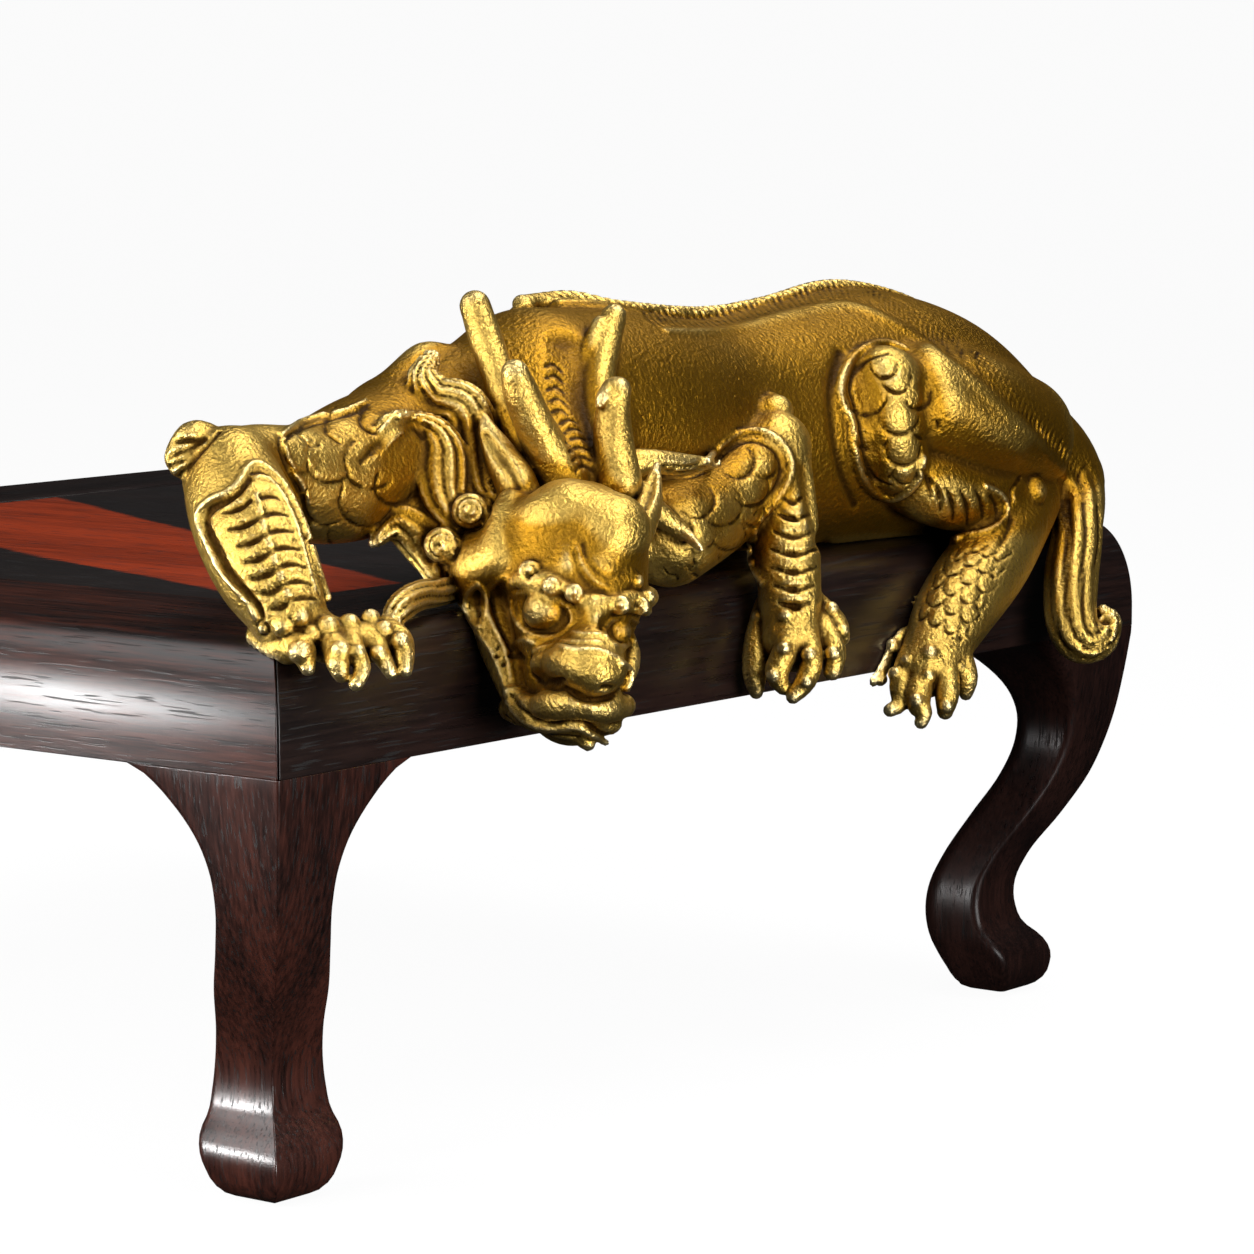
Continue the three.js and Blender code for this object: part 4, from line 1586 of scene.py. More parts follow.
def head_forms() -> Iterable[Form]:
    """Skull, cheeks, muzzle, horns and ears."""
    yield seen("temple", (512, 505, 719, 17), (503, 532, 717, 20), (500, 560, 715, 20), blend=1.5)
    yield seen("cranium", (577, 552, 720, 72), (580, 584, 717, 68), blend=2.0)
    yield seen("forehead", (566, 522, 715, 43), (612, 532, 714, 40), blend=2.0)
    yield seen("face", (570, 598, 714, 60), (572, 650, 710, 53), (572, 698, 709, 48), blend=3.0)
    yield seen("left_jaw", (622, 580, 721, 22), (616, 640, 715, 14), (616, 680, 707, 12), blend=1.5)
    yield seen(
        "right_jaw",
        (489, 567, 720, 41), (493, 604, 720, 33), (506, 655, 714, 23), (524, 703, 709, 19), blend=1.5)
    yield seen("muzzle", (588, 645, 707, 32), (590, 670, 700, 35), (580, 697, 702, 40), blend=2.0)
    yield seen("chin", (512, 708, 712, 14), (540, 718, 704, 15), (580, 726, 701, 15), (610, 724, 704, 12))
    yield seen("beard", (580, 732, 702, 13), (588, 744, 701, 7))
    yield seen("curl_upper", (470, 511, 718, 18), (474, 512, 726, 18), blend=0.3)
    yield seen("curl_lower", (442, 545, 717, 18), (448, 543, 725, 19), blend=0.3)
    horns = {
        "horn_right_rear": (
            (475, 306, 740, 16), (487, 342, 738, 17), (497, 372, 736, 17), (507, 404, 734, 17),
            (519, 436, 731, 16), (535, 478, 728, 16),
        ),
        "horn_right_front": (
            (515, 373, 722, 14), (521, 393, 723, 18), (534, 424, 724, 20), (548, 452, 726, 23),
            (562, 480, 727, 26),
        ),
        "horn_left_rear": (
            (614, 317, 752, 13), (606, 344.9, 749, 15), (598, 390, 744, 16), (600, 440, 738, 17),
            (606, 490, 732, 19),
        ),
        "horn_left_front": (
            (618, 390, 733, 13), (613, 415, 733, 18), (614, 448, 732, 21), (620, 482, 729, 22),
        ),
    }
    for name, stations in horns.items():
        yield seen(name, *stations, blend=0.8, relief=Gnarl(2.4, 0.03))
    yield seen("horn_flange_rear", (600, 325, 750, 9), (590.9, 348, 747, 9), (584, 368, 745, 3), blend=0.4)
    yield seen("horn_flange_front", (612, 388, 733, 10), (604, 398, 731, 8), (597, 407.9, 730, 2), blend=0.4)
    yield seen(
        "ear_right", (483, 413, 729, 3), (489, 432, 727, 10), (502, 458, 725, 17), (516, 484, 723, 21),
        (523, 506, 722, 22))
    yield seen(
        "ear_left", (657, 463.9, 735, 3), (653, 484, 731, 9), (648, 508, 727, 14), (638, 532, 722, 17))


def mane_forms() -> Iterable[Form]:
    """Combed locks that end in curled tips."""
    yield seen("cape_edge", (508, 345, 757, 9), (514, 320, 760, 9), (528, 306, 763, 9))
    yield seen(
        "back_hair", (640, 330, 776, 20), (600, 318, 770, 18), (560, 312, 766, 15),
        blend=1.5, relief=Grooves(10, 0.4, 0.05))
    yield seen("arm_hair", (452, 372, 748, 22), (425, 362, 745, 20), (395, 385, 738, 16), blend=1.5)
    yield seen(
        "mane_mass", (448, 400, 744, 26), (452, 440, 737, 28), (455, 479.9, 733, 28), (462, 512, 729, 20),
        (450, 560, 727, 16), blend=1.5)
    yield seen(
        "crown_lock", (432, 357, 737, 8), (423, 378, 733, 14), (437, 399, 732, 19), (461, 410, 731, 22),
        (470, 436, 732, 24), (473.9, 464, 730, 24), (480, 488, 727, 20), (490, 504, 724, 14),
        flat=1.3, relief=Grooves(12, 0.55))
    yield seen(
        "cheek_lock", (455, 520, 721, 18), (442, 499.9, 724, 24), (436, 474, 726, 26), (435.9, 450, 727, 23),
        (428, 432, 727, 16), (411, 424, 725, 11), (397, 424, 722, 11), (384, 435, 719, 11),
        (371, 450, 717, 8), (357, 463, 716, 2), flat=1.35, relief=Grooves(12, 0.55))
    yield seen(
        "throat_lock", (438, 572, 721, 13), (430, 552, 723, 18), (415, 530, 723, 20), (397, 520, 722, 17),
        (382, 531, 721, 11), (371, 549, 720, 3), flat=1.3, relief=Grooves(9, 0.45))
    yield seen(
        "beard_lock", (454, 590, 724, 13), (438, 592, 716, 15), (418, 596, 708, 16), (401, 607, 701, 15),
        (393, 622, 698, 12), (401, 637, 697, 6), relief=Grooves(8, 0.45))
    yield seen("far_lock", (610, 470, 744, 20), (645, 462, 745, 13), (680, 464, 749, 11), (718, 463, 756, 4))
    yield seen("far_hook", (650, 508, 748, 14), (682, 532, 749, 8), (701, 549, 745, 3), blend=0.4)


# Strokes of the modelling tool

def nape_hollow() -> Iterable[Touch]:
    """The hollow between the neck crest and the shoulder, pressed in before the horns are set."""
    yield Touch("nape hollow", ((566, 345), (580, 380), (594, 415), (606, 452)), (9, 12, 11, 9), -2.0)


def head_masses() -> Iterable[Touch]:
    """The larger swellings of forehead, eye hollows, nose and lips."""
    for stroke in (
        ("forehead bulge", ((606, 532), (610, 548), (606, 560)), (12, 13, 11), 0.9),
        ("cheek swelling", ((472, 568), (492, 556)), (14,), 1.5),
        ("brow boss", ((567, 548), (568, 566)), (5,), 0.6),
        ("near forehead", ((533, 512), (534, 545)), (9, 8), 0.5),
        ("temple swelling", ((514, 522), (510, 556)), (13, 12), 1.4),
        ("near brow", ((513, 585), (520, 580), (545, 583), (562, 592), (576, 600)), (2.6, 3.4, 3.4, 3.4),
         1.5, 0.6),
        ("far brow", ((592, 606), (608, 604), (625, 602), (642, 602), (649, 597)), (4, 3.6, 3.8, 3.2), 1.9,
         0.6),
        ("nose bridge", ((596, 612), (597, 620)), (4.6, 3.8), 1.5, 0.5),
        ("near eye hollow", ((530, 618), (545, 622), (560, 616)), (5.5, 7, 5.5), -1.6, 0.5),
        ("far eye hollow", ((610, 631), (622, 632)), (4.5,), -1.2, 0.4),
        ("nose", ((540, 664), (560, 662), (585, 668), (600, 672), (616, 668)), (3.4, 5, 6.5, 7.5, 4), 3.2,
         0.6),
        ("upper lip", ((512, 694), (530, 706), (556, 706), (580, 706), (606, 710), (626, 706)),
         (3, 4.2, 4.8, 4.4, 4.6, 3.6), 2, 0.5),
        ("far cheek", ((629, 634), (634, 655), (632, 672), (625, 686)), (2, 2.6, 2.4, 1.6), 1, 0.4),
    ):
        yield Touch(*stroke)


def flank_touches() -> Iterable[Touch]:
    """The fold behind the fore leg and the muscles of the flank."""
    for stroke in (
        ("fold behind the fore leg", ((805, 470), (812, 510), (822, 548)), (3, 4, 3), -1.0, 1),
        ("flank fold", ((840, 352), (831, 385), (833, 425), (841, 470), (855, 505)), (3, 4, 3), -0.6, 1),
        ("thigh muscle", ((925, 350), (950, 385), (985, 420), (1020, 448)), (10, 15, 10), 0.7),
    ):
        yield Touch(*stroke)


def arm_rims() -> Iterable[Touch]:
    """Raised rims and the deep grooves that frame the plates of the fore legs and the knee."""
    for stroke in (
        ("upper elbow ring", ((205, 440), (190, 448), (167, 458)), (0.9,), -0.5, 0.15),
        ("lower elbow ring", ((203, 449), (188, 458), (167, 467)), (0.9,), -0.45, 0.15),
        ("elbow curl's mouth", ((176, 441), (190, 441), (205, 438)), (1,), -0.6, 0.2),
        ("elbow neck groove", ((219, 431), (205, 447), (192, 462), (178, 478)), (1.1,), -0.6, 0.2),
    ):
        yield Touch(*stroke)
    yield from forearm_rims()
    for stroke in (
        ("shoulder rim", ((366, 401), (345, 411), (318, 417), (297, 424), (283, 435)), (1, 1.4, 1), 0.7,
         0.2),
        ("shoulder groove", ((368, 407), (345, 416), (318, 423), (298, 430), (286, 438)), (0.8, 0.9, 0.8),
         -0.6, 0.1),
        ("upper arm groove", ((280, 436), (280, 450), (286, 466), (296, 484), (305, 505), (311, 532)),
         (0.8, 1, 0.8), -0.6, 0.1),
        ("upper arm ridge", ((285, 440), (286, 452), (292, 467), (302, 484), (309, 503)), (0.9, 1, 0.8),
         0.5),
        ("forearm middle ridge", ((257, 495), (262, 520), (266, 536), (272, 551), (277, 567), (284, 585),
         (291, 601)), (1.2, 1.5, 1.2), 0.5, 0.4),
        ("left elbow rim", ((706, 463), (718, 448), (733, 437), (750, 431), (766, 433), (780, 442),
         (789, 456), (791, 471), (786, 486), (776, 500), (763, 515), (754, 530), (750, 545), (751, 560),
         (756, 573), (762, 583)), (1.2, 1.5, 1.5, 1.2), 0.8, 0.2),
        ("left elbow groove", ((716, 462), (730, 449), (748, 441), (764, 444), (776, 453), (781, 468),
         (777, 484), (766, 500), (754, 515)), (0.8, 1, 0.8), -0.6, 0.1),
    ):
        yield Touch(*stroke)
    yield from hind_leg_rims()


def forearm_rims() -> Iterable[Touch]:
    """Rims and grooves along both sides of the right forearm."""
    for stroke in (
        ("forearm outer rim", ((246, 470), (238, 483), (226, 493), (211, 500), (200, 511), (199, 523),
         (208, 542), (220, 567), (236, 587), (250, 603), (256, 617)), (1, 1.5, 1.5, 1.2), 0.8, 0.2),
        ("forearm outer groove", ((250, 478), (240, 491), (228, 500), (214, 507), (206, 517), (209, 533),
         (219, 553), (229, 573), (245, 591), (258, 606), (262, 618)), (1, 1.7, 1.7, 1.2), -1.3, 0.1),
        ("forearm inner rim", ((246, 470), (254, 463), (266, 467), (280, 480), (292, 499), (304, 525),
         (313, 552), (321, 578), (328, 598)), (1.2, 1.3, 1.2), 0.8, 0.2),
        ("forearm inner groove", ((252, 474), (262, 471), (274, 482), (286, 500), (298, 527), (307, 553),
         (314, 578), (320, 594)), (0.8, 1, 0.8), -0.7, 0.1),
        ("forearm inner bead", ((256, 477), (268, 478), (281, 492), (292, 514), (301, 540), (308, 565),
         (315, 590)), (0.8, 0.9, 0.8), 0.5),
    ):
        yield Touch(*stroke)


def hind_leg_rims() -> Iterable[Touch]:
    """Rims and grooves of the knee and the shin."""
    for stroke in (
        ("knee rim", ((905, 349), (888, 343), (870, 346), (853, 358), (843, 375), (840, 392), (845, 408),
         (851, 422), (853, 441), (856, 460), (864, 480), (877, 493), (892, 498), (908, 491), (919, 477),
         (923, 458)), (1.4, 1.9, 1.9, 1.5), 1.1, 0.3),
        ("knee groove", ((888, 353), (870, 358), (855, 372), (851, 392), (858, 412), (863, 440), (866, 460),
         (874, 478), (890, 486)), (0.9, 1.2, 0.9), -0.8, 0.1),
        ("shin rim", ((985, 486), (1000, 494), (1007, 508), (1002, 522), (985, 532), (960, 538), (938, 550),
         (922, 572), (910, 602)), (1.2, 1.6, 1.3), 0.8, 0.3),
        ("heel groove", ((1020, 478), (1010, 494), (1012, 512), (1008, 530), (1000, 545)), (1, 1.2, 0.9),
         -0.5, 0.2),
    ):
        yield Touch(*stroke)


def face_features() -> Iterable[Touch]:
    """Eyes, brow curls, nostrils, mouth and the folds of the face."""
    yield bead("near eye", 541, 612, 6.4, 2.4)
    yield bead("far eye", 619, 631, 4.6, 1.7)
    yield ring("near eye's groove", 545, 612, 9.5, 0.6, -0.4)
    yield ring("far eye's groove", 619, 631, 6.5, 0.6, -0.3)
    yield from eye_folds()
    for x, y, width, rise in (
        (529, 570, 3.6, 1.5), (551, 586, 2.9, 1.3), (574, 593, 3, 1.4), (621, 605, 3.1, 1.4),
        (641, 606, 2.9, 1.4), (649, 597, 2.4, 1), (637, 581, 2.6, 1), (647, 612, 1.8, 0.7),
    ):
        yield bead("brow curl", x, y, width, rise)
    yield from nose_folds()
    yield from jaw_folds()


def eye_folds() -> Iterable[Touch]:
    """Lids and the crease over the brows."""
    for stroke in (
        ("near lower lid", ((511, 596), (514, 615), (524, 630), (543, 638), (562, 634), (573, 620),
         (568, 606)), (0.9, 1.1, 0.9), 0.6),
        ("near upper lid", ((512, 595), (528, 592), (548, 596), (566, 606)), (0.9, 1.3, 0.9), 0.6),
        ("far upper lid", ((604, 630), (610, 621), (625, 617), (637, 622)), (0.9, 1.2, 0.9), 0.6),
        ("far lower lid", ((604, 632), (609, 643), (622, 647), (635, 640)), (0.9, 1.1, 0.9), 0.5),
        ("brow crease", ((577, 548), (582, 566), (594, 581), (609, 588), (624, 585), (634, 573)),
         (1, 1.5, 1.5, 1), 0.4),
        ("over the crease", ((583, 545), (588, 560), (599, 573), (612, 577), (624, 572)), (1,), -0.25),
        ("under the crease", ((573, 553), (578, 572), (592, 588), (608, 595), (622, 592)), (1,), -0.2),
    ):
        yield Touch(*stroke)


def nose_folds() -> Iterable[Touch]:
    """Nostrils and the folds over and beside the nose."""
    for stroke in (
        ("near nostril", ((545, 681), (554, 683), (563, 680)), (1, 1.7, 1.2), -1.2, 0.2),
        ("far nostril", ((604, 688), (612, 689)), (1.4,), -0.9, 0.2),
        ("near nose wing", ((532, 655), (529, 668), (538, 680), (552, 688), (566, 688)), (0.8, 1, 0.9), -0.8,
         0.1),
        ("under the nose", ((566, 688), (580, 698), (598, 700), (616, 694), (627, 680)), (0.9, 1.2, 0.9),
         -0.9, 0.1),
        ("nose fold", ((534, 652), (552, 646), (575, 650), (600, 651), (622, 660)), (0.9, 1.2, 1.2, 0.8),
         0.6),
        ("upper nose fold", ((556, 640), (578, 643), (600, 642)), (0.8, 1.1, 0.8), 0.6),
        ("fold at the nose's root", ((573, 632), (585, 635), (600, 634)), (0.8, 1, 0.8), 0.5),
        ("far nose wing", ((604, 652), (620, 662), (632, 672), (628, 690)), (0.8, 1.1, 0.9), 0.6),
    ):
        yield Touch(*stroke)


def jaw_folds() -> Iterable[Touch]:
    """Mouth, ear hole and the ridges and pits of the jaw."""
    for stroke in (
        ("mouth", ((511, 694), (520, 709), (538, 720), (560, 722), (577, 720), (590, 727), (605, 736),
         (622, 732), (633, 718)), (0.8, 1.3, 1.3, 1.3, 0.9), -1.1, 0.1),
        ("lower lip", ((508, 702), (519, 716), (538, 727), (560, 729), (576, 727), (590, 734), (606, 743)),
         (1.1, 1.4, 1.1), 0.7),
        ("chin groove", ((505, 716), (520, 727), (540, 735), (562, 736), (580, 738)), (0.8, 0.9, 0.8), -0.5,
         0.1),
        ("ear hole", ((478, 594), (474, 604), (478, 614)), (1.3, 1.9, 1.2), -1.3, 0.2),
        ("ear hole's rim", ((478, 583), (468, 592), (465, 606), (470, 620), (480, 628), (487, 614),
         (486, 596), (478, 583)), (1,), 0.5),
        ("inner jaw ridge", ((486, 596), (490, 618), (500, 638), (507, 656), (511, 680)), (0.8, 1, 0.8),
         0.5),
        ("outer jaw ridge", ((468, 618), (480, 636), (492, 652), (500, 672), (506, 692)), (0.8, 1, 0.8),
         0.5),
        ("cheek groove", ((492, 600), (497, 620), (506, 640), (512, 650)), (0.8,), -0.5, 0.1),
        ("mouth corner", ((510, 656), (518, 655), (524, 658)), (0.9, 1.3, 0.8), -1.0, 0.1),
        ("corner fold", ((514, 645), (522, 640), (534, 643)), (0.8, 1, 0.7), 0.5),
        ("temple fold", ((508, 577), (498, 580), (490, 588)), (1, 0.8), 0.4),
    ):
        yield Touch(*stroke)
    for x, y in ((497, 648), (496, 657), (503, 665)):
        yield bead("jaw pit", x, y, 0.9, -0.6)


def limb_scales() -> Iterable[Touch]:
    """Scales on the upper arms and the knee."""
    right_arm = (
        (331, 458, 25, 40), (372, 462, 27, 40), (345, 424, 20, 60), (327, 502, 24, 30), (366, 500, 27, 30),
        (304, 452, 21, 50), (395, 485, 20, 30), (376, 418, 16, 60), (312, 434, 13, 60), (348, 535, 20, 10),
        (316, 528, 15, 20), (378, 535, 16, 10),
    )
    left_arm = (
        (751, 487, 19, -40), (722, 505, 21, -40), (738, 461, 17, -50), (697, 500, 18, -40),
        (700, 532, 18, -35), (729, 534, 17, -30), (678, 560, 17, -30), (704, 562, 16, -20),
        (755, 515, 12, -30), (679, 530, 14, -40), (765, 465, 13, -60), (665, 580, 13, -20),
    )
    knee = (
        (866, 394, 21, 0), (897, 378, 15, -10), (899, 414, 21, 0), (872, 433, 18, 0), (903, 448, 18, 0),
        (880, 463, 17, 0), (918, 396, 13, -20), (925, 426, 13, -20), (884, 364, 14, 0), (905, 473, 12, 0),
    )
    limbs = (("right arm", right_arm, 0.22), ("left arm", left_arm, 0.22), ("knee", knee, 0.25))
    for name, scales, rise in limbs:
        for x, y, reach, tilt in scales:
            yield from scale(name, x, y, reach, tilt, rise)


def curl_rings() -> Iterable[Touch]:
    """Grooves round the brow curls and the snail curls of the mane."""
    for x, y, reach, width in (
        (529, 570, 7.5, 0.8), (551, 586, 5, 0.7), (574, 593, 5.5, 0.7), (621, 605, 5.5, 0.7),
        (641, 606, 5, 0.7),
    ):
        yield ring("brow curl's groove", x, y, reach, width, -0.5)
    for x, y, reaches in ((470, 511, (9, 15, 20)), (441, 545, (8, 13.5, 18.5))):
        for reach in reaches:
            yield ring("snail curl's groove", x, y, reach, 0.8, -0.5)
    yield bead("lower snail's middle", 438, 544, 1.3, -0.8)
    yield Touch("upper snail's end", ((467, 516), (472, 507)), (0.9,), -0.7, 0.1)


def mane_touches() -> Iterable[Touch]:
    """Combed grooves along the cheek lock's hook."""
    upper = ((360, 462), (378, 438), (394, 420), (414, 418), (430, 424))
    lower = ((362, 462), (386, 446), (398, 432), (412, 430), (420, 440))
    yield from combed("cheek lock's hook", upper, lower, 3, 0.9, -0.4)


def limb_plates() -> Iterable[Touch]:
    """Belly plates across the fore legs, the shank and the hind foot."""
    outer = ((222, 512), (228, 527), (236, 545), (242, 561), (249, 578), (260, 594), (270, 609))
    middle = ((250, 500), (260, 517), (265, 534), (272, 550), (277, 566), (284, 585), (290, 601))
    yield from rungs("outer forearm plates", outer, middle, 7, 3, (0.7, 1.3, 1.1), -0.8)
    middle = ((262, 497), (264, 512), (267, 528), (273, 545), (279, 562), (286, 580), (293, 600))
    inner = ((280, 499), (288, 515), (295, 532), (300, 549), (305, 566), (311, 584), (320, 600))
    yield from rungs("inner forearm plates", middle, inner, 7, -3, (1.1, 1.2, 0.7), -0.7)
    left = ((784, 497), (776, 522), (771, 548), (772, 575), (778, 602))
    right = ((803, 497), (813, 522), (818, 548), (817, 575), (812, 602))
    yield from rungs("left forearm plates", left, right, 7, 5, (0.7, 1.5, 0.7), -0.9)
    upper = ((922, 470), (938, 486), (957, 490), (975, 490), (990, 496))
    lower = ((930, 500), (944, 515), (962, 524), (980, 526), (996, 520))
    yield from rungs("shank plates", upper, lower, 6, -4, (0.6, 1.3, 0.6), -0.7)
    left = ((975, 540), (948, 556), (930, 585), (915, 622))
    right = ((1012, 552), (1000, 580), (982, 612), (962, 642))
    yield from scaled("hind foot scales", left, right, 6, 3, 0.8)


def paw_touches() -> Iterable[Touch]:
    """The swirl at the right wrist, the heel and the knuckles."""
    yield ring("wrist swirl", 262, 629, 6.5, 0.8, -0.6)
    yield bead("wrist swirl's middle", 262, 629, 1.6, 0.6)
    yield bead("heel knob", 1036, 489, 5.6, 1.8)
    for x, y, width, rise in (
        (283, 628, 3.2, 1), (301, 617, 3, 1), (312, 634, 2.8, 1.1), (328, 625, 3.4, 1.2),
        (350, 621, 3.2, 1.1), (371, 616, 2.8, 1), (385, 628, 2.6, 1), (341, 649, 3, 1.2),
        (358, 651, 2.4, 1), (377, 653, 2.6, 1), (400, 640, 2.8, 1.1), (299, 652, 3.4, 1.2),
        (784, 648, 2.4, 1), (808, 654, 2.6, 1), (832, 653, 2.6, 1), (773, 676, 2.4, 1),
        (806, 682, 2.2, 0.9), (757, 616, 2.4, 0.8), (785, 615, 2.4, 0.8), (832, 608, 2.6, 0.9),
        (843, 630, 2.4, 0.9), (892, 645, 2.8, 1), (894, 673, 2.6, 1), (882, 680, 2.4, 0.9),
        (916, 700, 2.6, 1), (946, 706, 2.6, 1), (930, 652, 2.8, 1), (929, 676, 2.6, 1),
        (960, 668, 2.6, 0.9), (906, 660, 2.2, 0.8),
    ):
        yield bead("knuckle", x, y, width, rise)


def crest_touches() -> Iterable[Touch]:
    """Chevrons on the neck crest, hair along the back and the tail, and wrinkles of the horns."""
    left, right = ((545, 366), (548, 390), (552, 412)), ((561, 370), (564, 392), (568, 414))
    yield from rungs("upper neck chevrons", left, right, 5, -5, (0.8, 1, 0.8), -0.6)
    left, right = ((560, 424), (568, 446), (576, 470)), ((577, 422), (588, 444), (592, 470))
    yield from rungs("lower neck chevrons", left, right, 6, -5, (0.8, 1, 0.8), -0.6)
    outer = (
        (640, 306), (700, 308), (772, 295), (830, 282), (877, 290), (922, 313), (966, 341), (1016, 384),
        (1057, 428), (1086, 464),
    )
    inner = (
        (666, 331), (725, 330), (795, 313), (848, 305), (888, 320), (926, 344), (968, 377), (1016, 420),
        (1050, 456), (1078, 488),
    )
    yield from rungs("back hair", outer, inner, 90, 3, (0.5, 0.9, 0.4), -0.3)
    yield Touch("spine band", inner, (3, 6, 6, 6, 3), 0.42)
    left = ((1058, 500), (1062, 540), (1058, 580), (1054, 620), (1064, 650), (1090, 655))
    right = ((1100, 505), (1102, 540), (1094, 580), (1092, 612), (1094, 628), (1104, 632))
    yield from combed("tail hair", left, right, 6, 1.4, -0.22)
    tail_curl = ((1120, 606), (1124, 622), (1116, 640), (1100, 650), (1082, 648))
    yield Touch("tail curl", tail_curl, (0.8, 1, 0.8), -0.5, 0.1)
    yield bead("tail curl's middle", 1107, 620, 2.6, -1.0)
    upper, lower = ((664, 463), (690, 464), (708, 460)), ((664, 478), (684, 482), (704, 474))
    yield from combed("far lock's hair", upper, lower, 3, 0.8, -0.4)
    for x, y, reach in (
        (474, 318, 12), (480, 338, 12), (510, 385, 14), (518, 412, 15), (611, 335, 10), (614, 412, 12),
    ):
        wrinkle = ((x - reach, y - 2), (x - 2, y + 3), (x + reach, y - 3))
        yield Touch("horn wrinkle", wrinkle, (0.5, 0.9, 0.5), -0.1)
    for stroke in (
        ("near ear's hollow", ((484, 434), (497, 452), (510, 470), (518, 486)), (1.6, 2.6, 1.6), -0.9),
        ("far ear's hollow", ((654, 472), (650, 490), (645, 508)), (1.2, 2, 1.2), -0.8),
    ):
        yield Touch(*stroke)


# The dragon

FORM_STAGES = (body_forms, hind_leg_forms, fore_leg_forms, toe_forms, head_forms)

STAGES = (
    body_forms, nape_hollow, hind_leg_forms, fore_leg_forms, toe_forms, head_forms, mane_forms, head_masses,
    flank_touches, arm_rims, face_features, limb_scales, curl_rings, mane_touches, limb_plates, paw_touches,
    crest_touches,
)


class Detail(Enum):
    """How finely the casting is meshed: grid distance in millimetres, and most triangles."""

    QUICK = (0.7, 120000)
    FULL = (0.42, 196000)


@dataclass(frozen=True)
class Dragon:
    """The whole figure, skinned as one closed casting.

    Args:
        sizes: The stand's sizes, which the figure lies on.
        detail: How finely it is meshed.
        margin: Clay around the forms in millimetres.
        cleared: Height above which nothing is cut away for the stand.
        turned: Cosine between skin and view at which the far side begins.
        turning: Range of that cosine over which the skin turns away.
        thinning: Strength of the far side's thinning.
        marks: Values stored on the skin, each with the reach in millimetres over which it is measured.
    """

    sizes: StandSizes
    detail: Detail
    margin: float = 3.0
    cleared: float = 92.0
    turned: float = -0.15
    turning: float = 0.5
    thinning: float = 0.00002
    # The bulk mark darkens the brass over broad hollows as painted shade mixed with patina; the groove mark
    # also pales small ridges, partly as a painted highlight.
    marks: tuple[tuple[str, float], ...] = (("bulk", 6.0), ("wear", 1.7), ("groove", 0.55))

    def clay(self) -> Clay:
        """Returns the modelled clay."""
        stations = np.vstack([np.array(form.stations) for stage in FORM_STAGES for form in stage()])
        low = (stations[:, :3] - stations[:, 3:]).min(0) - self.margin
        high = (stations[:, :3] + stations[:, 3:]).max(0) + self.margin
        cell, _ = self.detail.value
        clay = Clay(low, high, cell)
        for stage in STAGES:
            SIGHT.work(clay, stage())
        clay.keep_clear(self.sizes.clearance, self.cleared)
        return clay

    def build(self, builder: Builder, material: bpy.types.Material) -> None:
        """Builds the figure's object.

        Args:
            builder: Makes the object.
            material: The figure's finish.
        """
        clay = self.clay()
        points, faces = clay.skin()
        log.info("clay %s, %d faces", clay.shape, len(faces))
        item = builder.make("dragon_casting", MeshPiece(points, faces), material)
        self._keep_largest(item)
        self._thin(item)
        self._mark(item, builder, clay)
        declare(item, "dragon")

    def _keep_largest(self, item: bpy.types.Object) -> None:
        """Drops loose crumbs, so that the casting is one body."""
        mesh = item.data
        edges = np.empty(len(mesh.edges) * 2, np.int32)
        mesh.edges.foreach_get("vertices", edges)
        edges = edges.reshape(-1, 2)
        label = np.arange(len(mesh.vertices))
        while True:
            low = np.minimum(label[edges[:, 0]], label[edges[:, 1]])
            before = label.copy()
            np.minimum.at(label, edges[:, 0], low)
            np.minimum.at(label, edges[:, 1], low)
            label = label[label]
            if (label == before).all():
                break
        names, counts = np.unique(label, return_counts=True)
        if len(names) == 1:
            return
        keep = label == names[counts.argmax()]
        log.info("crumbs dropped: %d points", int((~keep).sum()))
        corners = np.empty(len(mesh.loops), np.int32)
        mesh.loops.foreach_get("vertex_index", corners)
        corners = corners.reshape(-1, 4)
        corners = corners[keep[corners].all(1)]
        renumber = np.cumsum(keep) - 1
        fresh = bpy.data.meshes.new(mesh.name)
        fill(fresh, positions(mesh)[keep], renumber[corners])
        fresh.polygons.foreach_set("use_smooth", np.ones(len(corners), bool))
        fresh.materials.append(mesh.materials[0])
        item.data = fresh

    def _thin(self, item: bpy.types.Object) -> None:
        """Merges small faces, mostly on the side that faces away from the view."""
        _, allowance = self.detail.value
        count = 2 * len(item.data.polygons)
        if count <= allowance:
            return
        self._weigh(item)
        thinner = item.modifiers.new("thin", "DECIMATE")
        thinner.ratio = allowance / count
        thinner.use_collapse_triangulate = True
        thinner.vertex_group = "far_side"
        thinner.vertex_group_factor = self.thinning
        graph = bpy.context.evaluated_depsgraph_get()
        mesh = bpy.data.meshes.new_from_object(item.evaluated_get(graph))
        item.modifiers.clear()
        item.data = mesh
        log.info("thinned to %d triangles", len(mesh.polygons))

    def _weigh(self, item: bpy.types.Object) -> None:
        """Stores how far each point turns away from the view, in ten steps."""
        away = (positions(item.data, "normal") * SIGHT.ahead).sum(1)
        steps = np.round(np.clip((away - self.turned) / self.turning, 0, 1) * 10).astype(int)
        group = item.vertex_groups.new(name="far_side")
        for step in range(11):
            group.add(np.nonzero(steps == step)[0].tolist(), 0.2 + 0.08 * step, "REPLACE")

    def _mark(self, item: bpy.types.Object, builder: Builder, clay: Clay) -> None:
        """Stores how bulky, open and grooved the skin is at every point."""
        spots = (positions(item.data) - builder.offset) / MM
        for name, reach in self.marks:
            values = clay.read(clay.blurred(reach), spots)
            stored = item.data.attributes.new(name, "FLOAT", "POINT")
            stored.data.foreach_set("value", values.astype(np.float32))


# The picture

